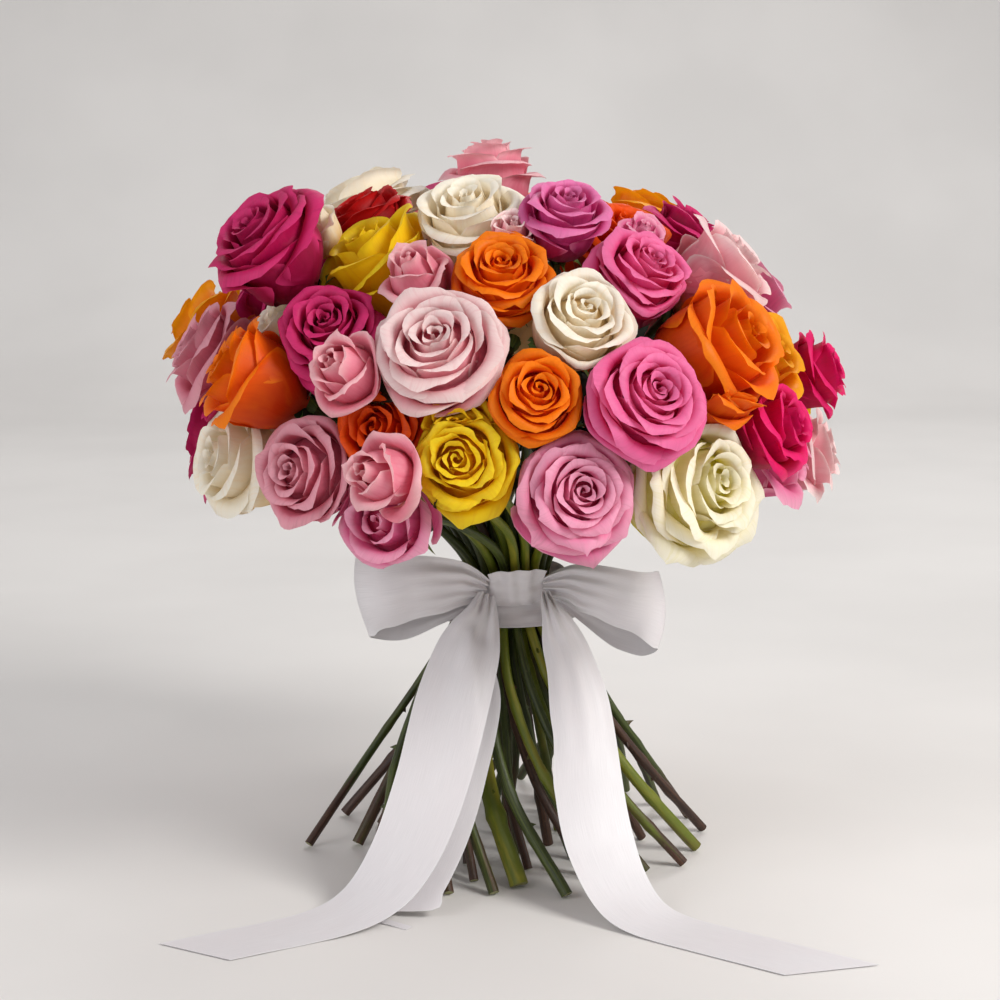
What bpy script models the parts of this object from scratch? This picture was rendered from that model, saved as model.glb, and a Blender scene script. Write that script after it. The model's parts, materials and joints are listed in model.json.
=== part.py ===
"""A hand-tied spiral bouquet of fifty-two roses, standing on its cut stems.

Every rose grew as one piece, so its stem and its bloom are one solid: a tube that follows the
stem up from its cut foot, through the tie, and swells into the bloom. The blooms share a dome.
Each pushes its neighbours aside until they only touch. The stems squeeze together at the tie
and fan out below it, all leaning the same way round, which is what lets the bouquet stand.
Twine binds the stems, and a satin ribbon is wound over the twine and tied in a bow in front.

Units are metres. +Z is up, -Y is the front and +X is to the right of someone facing the front.
An azimuth is measured round the upright axis from the front, positive towards the right.
The origin is the centre of the middle stem's cut foot, on the surface that the bouquet stands on.
"""

import math

import bmesh
import bpy
import numpy as np
from mathutils import Vector

# The dome of blooms: the surface through the middles of the blooms' faces.
DOME_Z = 0.244
DOME_RADIUS = 0.160
DOME_RISE = 0.122
DOME_DROP = 0.100

# One bloom, as fractions of its diameter or of its depth.
BLOOM_DEPTH = 0.82
BLOOM_FRONT = 0.20
BLOOM_MIDDLE = 0.11
BLOOM_FACING = 0.82
BLOOM_RINGS = ((0.0, 0.22), (0.16, 0.46), (0.42, 0.74), (0.68, 0.84), (0.88, 0.74), (1.0, 0.44))
CROWDED = 0.45  # reach of a bloom, as a share of its diameter, while it pushes for room
PACKED = 0.42  # and when it has settled

# The tie, the bundle that it holds and the fan of feet below it.
TIE_Z = 0.148
TIE_RADIUS = 0.0240
FOOT_RADIUS = 0.123
FOOT_FLARE = 1.12
TWIST_ABOVE = math.radians(36)
TWIST_BELOW = math.radians(46)
FOOT_WANDER = 0.007

# Stems: thickest at the foot, thinnest at the neck under the bloom.
STEM_FOOT = 0.0030
STEM_TIE = 0.00265
STEM_NECK = 0.0022
TIE_LEAN = 1.12  # a leaning stem's level section is longer than its diameter by this much
GAP = 0.0003

# Ribbon and twine.
RIBBON_WIDTH = 0.040
RIBBON_THICK = 0.0012
BAND_FLARE = 0.0125
KNOT_THICK = 0.0022
TWINE_RADIUS = 0.0008
TWINE_TURNS = 2
TWINE_CLEAR = 0.0012  # the stems spread just above and below the tie, and the twine clears that
TWINE_STEPS = 24

COLOURS = {
    "blush": (0.86, 0.42, 0.47),
    "white_pink": (0.88, 0.66, 0.64),
    "cream": (0.87, 0.80, 0.62),
    "lemon_cream": (0.86, 0.82, 0.52),
    "yellow": (0.83, 0.56, 0.02),
    "gold": (0.86, 0.42, 0.02),
    "orange": (0.84, 0.22, 0.01),
    "flame": (0.72, 0.08, 0.01),
    "red": (0.52, 0.02, 0.03),
    "pink": (0.80, 0.22, 0.40),
    "hot_pink": (0.78, 0.08, 0.33),
    "lilac": (0.62, 0.12, 0.38),
    "mauve": (0.68, 0.28, 0.38),
    "magenta": (0.55, 0.02, 0.17),
    "crimson": (0.62, 0.005, 0.14),
    "satin": (0.80, 0.79, 0.82),
    "twine": (0.33, 0.24, 0.13),
}

# The sizes of bloom that a florist sorts roses into: the diameter in millimetres.
SIZES = {"bud": 42, "small": 46, "modest": 52, "middle": 56, "large": 62, "open": 66, "full": 74}

# The blooms stand in rings round the dome, from the crown to the rim. Each ring has its tilt in
# front and behind, how far every other bloom is raised and the next lowered, the azimuth of its
# first bloom and how far round it goes (degrees). Then come its blooms, in order towards the
# right: number, colour and size, how much lower it sits (degrees), how far it stands proud of
# the dome (mm) and how far its face is swung round from straight outwards (degrees). Round a
# ring, each bloom has room in proportion to its size.
RINGS = (
    (9, 9, 0, -155, 360, (
        (1, "blush", "middle", 0, 17, 0),
    )),
    (36, 42, 0, -15, 360, (
        (2, "cream", "large", 0, 2, 0),
        (5, "lilac", "middle", 2, 0, 0),
        (6, "flame", "middle", 0, 0, 0),
        (7, "magenta", "open", 4, 0, 0),
        (4, "gold", "large", 0, 0, 0),
        (10, "orange", "full", 0, 0, 0),
        (9, "hot_pink", "full", 0, 0, 0),
        (8, "cream", "full", 0, 0, 0),
        (3, "red", "middle", 0, 0, 0),
        (12, "yellow", "middle", 7, 5, -20),
    )),
    (54, 68, 0, 2, 360, (
        (14, "orange", "middle", 0, 0, 0),
        (15, "hot_pink", "middle", 0, 4, 10),
        (16, "white_pink", "large", 0, 6, 20),
        (21, "pink", "large", 0, 4, 0),
        (22, "pink", "full", 0, 0, 0),
        (23, "cream", "full", 0, 0, 0),
        (24, "yellow", "full", 0, 0, 0),
        (25, "magenta", "full", 0, 0, 0),
        (11, "magenta", "full", -3, 10, 0),
        (13, "blush", "bud", -4, 4, 0),
    )),
    (72, 72, 4, -118, 218, (
        (26, "blush", "full", 0, 0, 0),
        (20, "gold", "middle", -6, 8, 0),
        (32, "mauve", "large", 6, 6, 0),
        (33, "orange", "middle", 0, 2, -20),
        (30, "magenta", "middle", -4, -3, 30),
        (31, "blush", "bud", 0, 8, -8),
        (18, "white_pink", "open", -2, 4, 0),
        (28, "orange", "modest", 0, 0, 0),
        (29, "hot_pink", "open", 7, 5, 0),
        (27, "orange", "open", -2, 2, 16),
        (34, "gold", "modest", 4, 0, 0),
        (35, "crimson", "middle", 10, 8, 0),
    )),
    (93, 92, 0, 14, 360, (
        (43, "pink", "large", 0, 3, 0),
        (44, "lemon_cream", "open", 0, 3, 0),
        (45, "pink", "middle", -4, 0, 15),
        (47, "yellow", "full", 0, 0, 0),
        (48, "magenta", "full", 0, 0, 0),
        (49, "orange", "full", 0, 0, 0),
        (50, "lemon_cream", "full", 0, 0, 0),
        (51, "pink", "full", 0, 0, 0),
        (52, "magenta", "full", 0, 0, 0),
        (38, "cream", "middle", 0, 4, 0),
        (39, "mauve", "middle", 0, 2, 0),
        (42, "yellow", "middle", -3, 2, 0),
    )),
)

# Blooms tucked in between others: the blooms each sits between, then the same as above.
TUCKED = (
    ((14, 15, 28, 29), (17, "cream", "modest", 0, 0, 0)),
    ((11, 33, 32), (19, "cream", "small", 0, 2, 0)),
    ((31, 39, 42), (36, "flame", "small", 0, -2, 0)),
    ((36, 42), (40, "blush", "bud", 2, 8, -20)),
    ((39, 42), (41, "pink", "modest", 9, -2, 0)),
    ((27, 44, 45), (37, "crimson", "modest", 0, -2, 12)),
    ((35, 45, 47), (46, "white_pink", "middle", 0, 3, 0)),
)

# The ribbon's routes: the middle of the ribbon, the way its right-hand edge lies, and its width
# there as a share of the full width. Gathered at the knot, it opens out as it falls.
FLAT = 0.5 * RIBBON_THICK + 0.0001
TAIL_RIGHT = (
    ((0.0190, -0.0318, 0.1500), (0.88, -0.40, -0.1), 0.24),
    ((0.0215, -0.0450, 0.1420), (1.0, -0.2, -0.1), 0.44),
    ((0.0275, -0.0500, 0.1240), (1.0, 0.1, 0.0), 0.80),
    ((0.0345, -0.0660, 0.0990), (1.0, 0.1, 0.0), 1.0),
    ((0.0400, -0.0850, 0.0720), (1.0, 0.2, 0.0), 1.0),
    ((0.0445, -0.1040, 0.0470), (1.0, 0.3, 0.0), 1.0),
    ((0.0525, -0.1225, 0.0240), (0.9, 0.5, 0.0), 1.0),
    ((0.0630, -0.1370, 0.0080), (0.8, 0.6, 0.0), 1.0),
    ((0.0770, -0.1500, 0.0016), (0.7, 0.7, 0.0), 1.0),
    ((0.1000, -0.1680, FLAT), (0.6, 0.8, 0.0), 1.0),
    ((0.1300, -0.1910, FLAT), (0.6, 0.8, 0.0), 1.0),
    ((0.1590, -0.2130, FLAT), (0.6, 0.8, 0.0), 1.0),
)
TAIL_LEFT = (
    ((-0.0110, -0.0364, 0.1500), (0.85, 0.5, 0.1), 0.26),
    ((-0.0140, -0.0450, 0.1400), (1.0, 0.2, 0.1), 0.50),
    ((-0.0205, -0.0540, 0.1250), (1.0, 0.0, 0.0), 0.85),
    ((-0.0300, -0.0710, 0.0970), (1.0, 0.0, 0.0), 1.0),
    ((-0.0390, -0.0920, 0.0650), (1.0, -0.1, 0.0), 1.0),
    ((-0.0510, -0.1140, 0.0350), (0.9, -0.3, 0.0), 1.0),
    ((-0.0660, -0.1310, 0.0140), (0.8, -0.5, 0.0), 1.0),
    ((-0.0840, -0.1440, 0.0040), (0.7, -0.7, 0.0), 1.0),
    ((-0.1070, -0.1570, FLAT), (0.6, -0.8, 0.0), 1.0),
    ((-0.1330, -0.1730, FLAT), (0.55, -0.83, 0.0), 1.0),
    ((-0.1570, -0.1880, FLAT), (0.55, -0.83, 0.0), 1.0),
)
TAIL_LEFT_REAR = (
    ((-0.0186, -0.0350, 0.1350), (1.0, -0.4, 0.1), 0.33),
    ((-0.0225, -0.0430, 0.1240), (1.0, -0.1, 0.0), 0.55),
    ((-0.0235, -0.0560, 0.0980), (1.0, 0.0, 0.0), 1.0),
    ((-0.0300, -0.0770, 0.0650), (1.0, -0.1, 0.0), 1.0),
    ((-0.0390, -0.1000, 0.0350), (0.9, -0.3, 0.0), 1.0),
    ((-0.0510, -0.1200, 0.0130), (0.9, -0.4, 0.0), 1.0),
    ((-0.0610, -0.1340, 0.0025), (0.9, -0.4, 0.0), 1.0),
    ((-0.0680, -0.1430, FLAT), (0.9, -0.4, 0.0), 1.0),
)
LOOP_LEFT = (
    ((-0.0118, -0.0330, 0.1520), (0.1, 0.0, 1.0), 0.28),
    ((-0.0260, -0.0420, 0.1560), (0.1, 0.0, 1.0), 0.68),
    ((-0.0460, -0.0530, 0.1560), (0.0, -0.1, 1.0), 1.0),
    ((-0.0640, -0.0550, 0.1540), (-0.1, -0.1, 1.0), 1.08),
    ((-0.0750, -0.0490, 0.1530), (-0.2, 0.0, 1.0), 1.12),
    ((-0.0770, -0.0390, 0.1515), (-0.2, 0.0, 1.0), 1.10),
    ((-0.0690, -0.0320, 0.1490), (-0.2, 0.1, 1.0), 1.05),
    ((-0.0530, -0.0310, 0.1465), (-0.1, 0.1, 1.0), 0.90),
    ((-0.0370, -0.0345, 0.1470), (0.0, 0.1, 1.0), 0.60),
    ((-0.0250, -0.0345, 0.1480), (0.0, 0.1, 1.0), 0.40),
    ((-0.0155, -0.0315, 0.1480), (0.0, 0.1, 1.0), 0.30),
)
LOOP_RIGHT = (
    ((0.0206, -0.0272, 0.1530), (0.1, 0.0, 1.0), 0.25),
    ((0.0350, -0.0380, 0.1550), (0.1, 0.0, 1.0), 0.60),
    ((0.0500, -0.0480, 0.1510), (0.1, -0.1, 1.0), 0.92),
    ((0.0660, -0.0530, 0.1460), (0.1, -0.1, 1.0), 1.08),
    ((0.0780, -0.0490, 0.1430), (0.0, 0.0, 1.0), 1.12),
    ((0.0815, -0.0390, 0.1405), (0.0, 0.0, 1.0), 1.12),
    ((0.0750, -0.0310, 0.1390), (0.0, 0.1, 1.0), 1.05),
    ((0.0620, -0.0280, 0.1400), (0.0, 0.1, 1.0), 0.90),
    ((0.0480, -0.0275, 0.1440), (0.0, 0.1, 1.0), 0.60),
    ((0.0350, -0.0280, 0.1480), (0.0, 0.1, 1.0), 0.40),
    ((0.0235, -0.0235, 0.1490), (0.0, 0.1, 1.0), 0.28),
)


def clear_scene():
    """Remove every object, so that the file holds only the bouquet."""
    for thing in list(bpy.data.objects):
        bpy.data.objects.remove(thing, do_unlink=True)


def heading(azimuth, tilt):
    """Unit vector at an azimuth round the upright axis and a tilt away from straight up."""
    across = math.sin(tilt)
    return np.array((across * math.sin(azimuth), -across * math.cos(azimuth), math.cos(tilt)))


def ring_blooms():
    """Every bloom of the rings, by its number: colour, azimuth, tilt, diameter, proud, swing."""
    blooms = {}
    for front, behind, zigzag, azimuth, turn, ring in RINGS:
        scale = turn / sum(SIZES[row[2]] for row in ring)
        for place, (number, colour, size, lower, proud, swing) in enumerate(ring):
            if place > 0:
                azimuth += 0.5 * scale * (SIZES[ring[place - 1][2]] + SIZES[size])
            behindness = 0.5 - 0.5 * math.cos(math.radians(azimuth))
            step = zigzag if place % 2 else -zigzag
            tilt = front + (behind - front) * behindness + step + lower
            blooms[number] = (colour, azimuth, tilt, SIZES[size], proud, swing)
    return blooms


def all_blooms():
    """The blooms of the rings and those tucked in between them, in the order of their numbers."""
    blooms = ring_blooms()
    for between, (number, colour, size, lower, proud, swing) in TUCKED:
        middle = sum(heading(*np.radians(blooms[other][1:3])) for other in between)
        azimuth = math.degrees(math.atan2(middle[0], -middle[1]))
        tilt = math.degrees(math.acos(middle[2] / np.linalg.norm(middle))) + lower
        blooms[number] = (colour, azimuth, tilt, SIZES[size], proud, swing)
    return [blooms[number] for number in sorted(blooms)]


def turned(points, angle):
    """Points of the plan turned counter-clockwise about the upright axis."""
    cosine, sine = np.cos(angle), np.sin(angle)
    x, y = points[..., 0], points[..., 1]
    return np.stack((x * cosine - y * sine, x * sine + y * cosine), axis=-1)


def spread(points, radii, home, pull, rounds, limit=math.inf, fixed=slice(0)):
    """Push discs or balls apart until they only touch, each drawn gently back to its home.

    None goes further than the limit from the origin.
    """
    points = points.copy()
    reach = radii[:, None] + radii[None, :] + GAP
    for _ in range(rounds):
        points += pull * (home - points)
        between = points[:, None, :] - points[None, :, :]
        distance = np.linalg.norm(between, axis=2) + np.eye(len(points))
        overlap = np.clip(reach - distance, 0.0, None)
        np.fill_diagonal(overlap, 0.0)
        points += 0.5 * (between * (overlap / distance)[..., None]).sum(axis=1)
        out = np.linalg.norm(points, axis=1, keepdims=True)
        points *= np.minimum(1.0, limit / np.maximum(out, 0.001))
        points[fixed] = home[fixed]
        pull *= 0.985
    return points


def bloom_places(roses):
    """Middle of each bloom's face, its facing and its diameter, after the blooms have settled."""
    faces, facings, diameters = [], [], []
    for _, azimuth, tilt, size, proud, swing in roses:
        azimuth, tilt = math.radians(azimuth), math.radians(tilt)
        outwards = heading(azimuth, tilt)
        height = DOME_RISE if outwards[2] >= 0 else DOME_DROP
        flat, rise = math.hypot(outwards[0], outwards[1]), outwards[2]
        reach = 1.0 / math.hypot(flat / DOME_RADIUS, rise / height) + proud / 1000.0
        faces.append(np.array((0.0, 0.0, DOME_Z)) + reach * outwards)
        facings.append(heading(azimuth + math.radians(swing), BLOOM_FACING * tilt))
        diameters.append(size / 1000.0)
    facings, diameters = np.array(facings), np.array(diameters)
    inset = BLOOM_MIDDLE * diameters[:, None] * facings
    home = np.array(faces) - inset
    middles = spread(home, CROWDED * diameters, home, pull=0.06, rounds=80)
    middles = spread(middles, PACKED * diameters, middles, pull=0.10, rounds=260)
    return middles + inset, facings, diameters


def tie_places(tilts, azimuths):
    """Where each stem passes the tie: the crown's stems inside, the rim's stems outside."""
    order = np.argsort(tilts, kind="stable")
    ranks = np.empty(len(order))
    ranks[order] = np.arange(len(order))
    inner = TIE_RADIUS - TIE_LEAN * STEM_TIE
    radii = inner * np.sqrt(ranks / (len(ranks) - 1))
    angles = azimuths + TWIST_ABOVE
    home = np.stack((radii * np.sin(angles), -radii * np.cos(angles)), axis=1)
    stems = np.full(len(ranks), STEM_TIE)
    home[order[0]] = 0.0
    return spread(home, stems, home, pull=0.06, rounds=400, limit=inner, fixed=order[:1])


def foot_level(place, height, wander):
    """Where a stem that passes the tie at a place lies at a height below it."""
    drop = (TIE_Z - height) / TIE_Z
    opened = drop**FOOT_FLARE
    outer = np.linalg.norm(place) / TIE_RADIUS
    scale = 1.0 + (FOOT_RADIUS / TIE_RADIUS - 1.0) * opened
    twist = TWIST_BELOW * opened * (0.7 + 0.3 * outer)
    plan = turned(place, twist) * scale + wander * opened**2
    return np.array((plan[0], plan[1], height))


def hermite(start, end, leave, arrive, share):
    """Point on the smooth curve that leaves and arrives along the given directions."""
    square, cube = share * share, share**3
    return (
        start * (2 * cube - 3 * square + 1)
        + leave * (cube - 2 * square + share)
        + end * (3 * square - 2 * cube)
        + arrive * (cube - square)
    )


def rose_path(place, face, facing, diameter, wander):
    """Centres and radii of a rose's rings, from its cut foot to the front of its bloom."""
    levels = (0.0, 0.050, 0.100, TIE_Z)
    points = [foot_level(place, level, wander) for level in levels]
    radii = [STEM_FOOT, 0.5 * (STEM_FOOT + STEM_TIE), STEM_TIE + 0.0001, STEM_TIE]
    lean = points[1] - points[0]
    points[0][2] = STEM_FOOT * math.hypot(lean[0], lean[1]) / np.linalg.norm(lean)

    base = face - (BLOOM_DEPTH - BLOOM_FRONT) * diameter * facing
    rise = np.linalg.norm(base - points[-1])
    leave = (points[-1] - points[-2]) / np.linalg.norm(points[-1] - points[-2])
    upwards = np.array((-leave[0] * 0.2, -leave[1] * 0.2, leave[2])) * rise
    tie = points[-1]
    for share in (0.30, 0.62, 0.86):
        points.append(hermite(tie, base, upwards, facing * rise * 0.7, share))
        radii.append(STEM_TIE + share * (STEM_NECK - STEM_TIE))
    for along, out in BLOOM_RINGS:
        points.append(base + along * BLOOM_DEPTH * diameter * facing)
        radii.append(0.5 * diameter * out)
    return points, radii


def material(name):
    """Principled material of a named colour: satin is smoother than petals."""
    made = bpy.data.materials.get(name) or bpy.data.materials.new(name)
    made.use_nodes = True
    shader = made.node_tree.nodes["Principled BSDF"]
    shader.inputs["Base Color"].default_value = (*COLOURS[name], 1.0)
    shader.inputs["Roughness"].default_value = 0.35 if name == "satin" else 0.6
    shader.inputs["Metallic"].default_value = 0.0
    return made


def add_object(name, data, colour, collection):
    """Link an object of the given name and colour into the bouquet's collection."""
    data.materials.append(material(colour))
    thing = bpy.data.objects.new(name, data)
    collection.objects.link(thing)
    return thing


def add_tube(name, points, radii, colour, collection):
    """A round tube through the points, with its own radius at each, closed at both ends."""
    curve = bpy.data.curves.new(name, "CURVE")
    curve.dimensions = "3D"
    curve.bevel_depth = 1.0
    curve.bevel_resolution = 2
    curve.use_fill_caps = True
    spline = curve.splines.new("POLY")
    spline.points.add(len(points) - 1)
    for knot, point, radius in zip(spline.points, points, radii):
        knot.co = (*point, 1.0)
        knot.radius = radius
    return add_object(name, curve, colour, collection)


def add_roses(collection):
    """All the roses, each one solid from cut foot to bloom."""
    roses = all_blooms()
    faces, facings, diameters = bloom_places(roses)
    tilts = np.radians([row[2] for row in roses])
    azimuths = np.radians([row[1] for row in roses])
    places = tie_places(tilts, azimuths)
    rng = np.random.default_rng(7)
    wander = rng.uniform(-FOOT_WANDER, FOOT_WANDER, (len(roses), 2))
    wander[np.argmin(tilts)] = 0.0
    for index, row in enumerate(roses):
        path = rose_path(places[index], faces[index], facings[index], diameters[index], wander[index])
        add_tube(f"rose_{index + 1:02d}_{row[0]}", *path, row[0], collection)


def smooth_route(route, steps=2):
    """Stations on a smooth curve through a ribbon's route, with steps between its points."""
    rows = np.array([(*centre, *edge, share) for centre, edge, share in route])
    padded = np.vstack((2 * rows[0] - rows[1], rows, 2 * rows[-1] - rows[-2]))
    stations = []
    for before, start, end, after in zip(padded, padded[1:], padded[2:], padded[3:]):
        for step in range(steps):
            leave, arrive = 0.5 * (end - before), 0.5 * (after - start)
            stations.append(hermite(start, end, leave, arrive, step / steps))
    stations.append(rows[-1])
    return np.array(stations)


def add_ribbon(name, route, collection):
    """A flat ribbon along a route, open along both edges, given its thickness by Solidify."""
    stations = smooth_route(route)
    mesh = bmesh.new()
    pairs = []
    for index, station in enumerate(stations):
        ahead = stations[min(index + 1, len(stations) - 1)][:3]
        behind = stations[max(index - 1, 0)][:3]
        along = Vector(ahead - behind).normalized()
        across = Vector(station[3:6])
        across = (across - across.dot(along) * along).normalized()
        half = across * (0.5 * RIBBON_WIDTH * float(station[6]))
        middle = Vector(station[:3])
        pairs.append((mesh.verts.new(middle - half), mesh.verts.new(middle + half)))
    for (left, right), (next_left, next_right) in zip(pairs, pairs[1:]):
        mesh.faces.new((left, right, next_right, next_left))
    data = bpy.data.meshes.new(name)
    mesh.to_mesh(data)
    mesh.free()
    add_thickness(add_object(name, data, "satin", collection), RIBBON_THICK, 0.0)


def add_thickness(thing, thickness, offset):
    """Turn an open surface into a closed shell of the given thickness."""
    shell = thing.modifiers.new("thickness", "SOLIDIFY")
    shell.thickness = thickness
    shell.offset = offset


def band_profile(inside):
    """Outline of the wound ribbon, top to bottom: narrow at the tie, flared with the stems."""
    outline = []
    for share in (1.0, 0.6, 0.25, -0.25, -0.6, -1.0):
        radius = inside + BAND_FLARE * share * share
        outline.append((radius, TIE_Z + 0.5 * (RIBBON_WIDTH - 0.003) * share))
    return outline


def add_turned_sheet(name, inside, thickness, start, sweep, steps, collection):
    """A wound sheet: the band's profile turned about the upright axis, thickened outwards."""
    mesh = bmesh.new()
    row = [mesh.verts.new((radius, 0.0, height)) for radius, height in band_profile(inside)]
    for upper, lower in zip(row, row[1:]):
        mesh.edges.new((upper, lower))
    data = bpy.data.meshes.new(name)
    mesh.to_mesh(data)
    mesh.free()
    thing = add_object(name, data, "satin", collection)
    thing.rotation_euler[2] = start
    screw = thing.modifiers.new("turn", "SCREW")
    screw.angle = sweep
    screw.steps = steps
    screw.render_steps = steps
    screw.use_merge_vertices = sweep > math.radians(359)
    screw.merge_threshold = 0.00001
    add_thickness(thing, thickness, 1.0)


def add_twine(collection):
    """Twine wound round the stems under the ribbon, clear of them by the usual gap."""
    step = 2 * math.pi / TWINE_STEPS
    radius = (TIE_RADIUS + TWINE_CLEAR + TWINE_RADIUS) / math.cos(0.5 * step)
    pitch = 2 * TWINE_RADIUS + GAP
    points = []
    for turn in range(TWINE_TURNS * TWINE_STEPS + 1):
        height = TIE_Z + pitch * (turn / TWINE_STEPS - 0.5 * TWINE_TURNS)
        points.append((radius * math.sin(turn * step), -radius * math.cos(turn * step), height))
    add_tube("binding_twine", points, [TWINE_RADIUS] * len(points), "twine", collection)


def add_bow(collection):
    """The ribbon's two turns, its knot in front, two loops and three tails."""
    band = TIE_RADIUS + TWINE_CLEAR + 2 * TWINE_RADIUS + 1.5 * GAP
    add_turned_sheet("ribbon_wrap", band, RIBBON_THICK, 0.0, 2 * math.pi, 32, collection)
    front = band + RIBBON_THICK + 3 * GAP
    start, sweep = math.radians(-90 - 16), math.radians(50)
    add_turned_sheet("bow_knot", front, KNOT_THICK, start, sweep, 8, collection)
    add_ribbon("bow_loop_left", LOOP_LEFT, collection)
    add_ribbon("bow_loop_right", LOOP_RIGHT, collection)
    add_ribbon("ribbon_tail_left", TAIL_LEFT, collection)
    add_ribbon("ribbon_tail_left_rear", TAIL_LEFT_REAR, collection)
    add_ribbon("ribbon_tail_right", TAIL_RIGHT, collection)


def main():
    clear_scene()
    collection = bpy.data.collections.new("rose_bouquet")
    bpy.context.scene.collection.children.link(collection)
    add_roses(collection)
    add_twine(collection)
    add_bow(collection)


main()
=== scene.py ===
"""Looks of the rose bouquet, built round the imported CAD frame: petals, stems, ribbon and studio.

Lengths are metres in the frame's own axes: +Z up, -Y the front, +X to the right of the viewer.
A bloom is made in its own axes, with its facing along +Z and half its diameter as the unit.
"""

import json
import math

import bmesh
import bpy
import numpy as np
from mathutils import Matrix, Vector

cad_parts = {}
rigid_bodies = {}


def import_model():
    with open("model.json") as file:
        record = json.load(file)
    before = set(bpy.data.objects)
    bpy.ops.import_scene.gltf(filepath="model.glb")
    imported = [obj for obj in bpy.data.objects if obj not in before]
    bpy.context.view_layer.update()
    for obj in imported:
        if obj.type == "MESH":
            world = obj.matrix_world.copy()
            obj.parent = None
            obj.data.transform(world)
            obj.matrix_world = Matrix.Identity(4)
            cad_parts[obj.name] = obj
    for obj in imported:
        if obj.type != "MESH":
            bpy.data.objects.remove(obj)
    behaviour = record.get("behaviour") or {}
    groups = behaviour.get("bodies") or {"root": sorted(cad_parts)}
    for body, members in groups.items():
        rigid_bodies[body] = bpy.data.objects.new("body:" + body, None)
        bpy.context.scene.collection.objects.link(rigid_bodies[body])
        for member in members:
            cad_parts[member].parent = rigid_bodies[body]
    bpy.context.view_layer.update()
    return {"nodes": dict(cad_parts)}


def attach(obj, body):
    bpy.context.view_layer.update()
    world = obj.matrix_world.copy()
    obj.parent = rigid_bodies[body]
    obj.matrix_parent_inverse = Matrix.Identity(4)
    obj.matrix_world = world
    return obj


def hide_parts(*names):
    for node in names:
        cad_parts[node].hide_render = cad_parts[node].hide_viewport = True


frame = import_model()

SCENE = bpy.context.scene
BODY = "root"
RING_SIDES = 8  # points in each ring of a CAD rose
STEM_RINGS = 8  # rings of its stem, from the foot to the base of the bloom
MM = 0.001
BLOOM_DEPTH = 0.82  # depth of a bloom as a share of its diameter
DEPTH = 2 * BLOOM_DEPTH  # the same in half diameters
MIDDLE = 1.02  # height of a bloom's middle over its foot, in half diameters
SWELL = 1.13  # petals reach further out than the CAD's plain buds
PRESS = 0.28  # depth of the flattening where two blooms meet, in half diameters
NEAR = 1.35  # two blooms closer than their half diameters together times this are neighbours
TUCK = 0.10  # how far one bloom's petals slip in among its neighbour's, in half diameters


# ---------------------------------------------------------------- colours


def colour(red, green, blue):
    """Scene-linear colour of a display colour given from 0 to 255."""
    channels = []
    for value in (red, green, blue):
        share = value / 255.0
        channels.append(share / 12.92 if share < 0.04045 else ((share + 0.055) / 1.055) ** 2.4)
    return np.array(channels)


# Each kind of rose: the heart's deep colour, partly the rose's own and partly painted shade of the
# valleys between its petals; the petal's body; its rim, paler partly of its own and partly as a
# painted highlight; and the petal's foot, as display colours.
PALETTES = {
    "blush": ((218, 92, 122), (244, 168, 184), (253, 218, 220), (246, 212, 184)),
    "white_pink": ((222, 100, 130), (244, 188, 196), (254, 244, 240), (248, 168, 96)),
    "cream": ((246, 216, 156), (253, 246, 228), (255, 252, 243), (250, 210, 152)),
    "lemon_cream": ((222, 210, 16), (252, 244, 212), (255, 252, 240), (240, 230, 150)),
    "yellow": ((220, 130, 6), (246, 210, 14), (253, 232, 60), (230, 178, 10)),
    "gold": ((226, 100, 8), (246, 166, 14), (252, 196, 44), (242, 140, 16)),
    "orange": ((214, 62, 2), (246, 126, 8), (254, 160, 26), (226, 88, 6)),
    "flame": ((172, 22, 4), (232, 72, 8), (250, 118, 18), (240, 110, 14)),
    "red": ((120, 4, 14), (184, 20, 28), (214, 48, 46), (140, 8, 20)),
    "pink": ((180, 38, 94), (237, 130, 176), (250, 196, 216), (242, 176, 176)),
    "hot_pink": ((200, 20, 96), (236, 82, 152), (251, 154, 198), (216, 46, 118)),
    "lilac": ((180, 30, 104), (220, 92, 160), (244, 160, 204), (206, 76, 130)),
    "mauve": ((168, 56, 84), (228, 142, 162), (244, 194, 204), (236, 176, 150)),
    "magenta": ((120, 2, 48), (192, 20, 100), (228, 78, 144), (140, 6, 60)),
    "crimson": ((160, 0, 60), (224, 8, 108), (242, 54, 140), (190, 0, 76)),
}
# How far into a bloom its heart's colour reaches, where that isn't the usual.
HEART_REACH = {"lemon_cream": 1.0}
USUAL_REACH = 0.30
RICHNESS = 1.25  # petals light one another, so each is painted this much fuller than its swatch


def enriched(swatch):
    """A fuller tone of a colour: its strongest channel stays and the weaker ones fall."""
    strongest = swatch.max()
    return strongest * (swatch / strongest) ** RICHNESS


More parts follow.
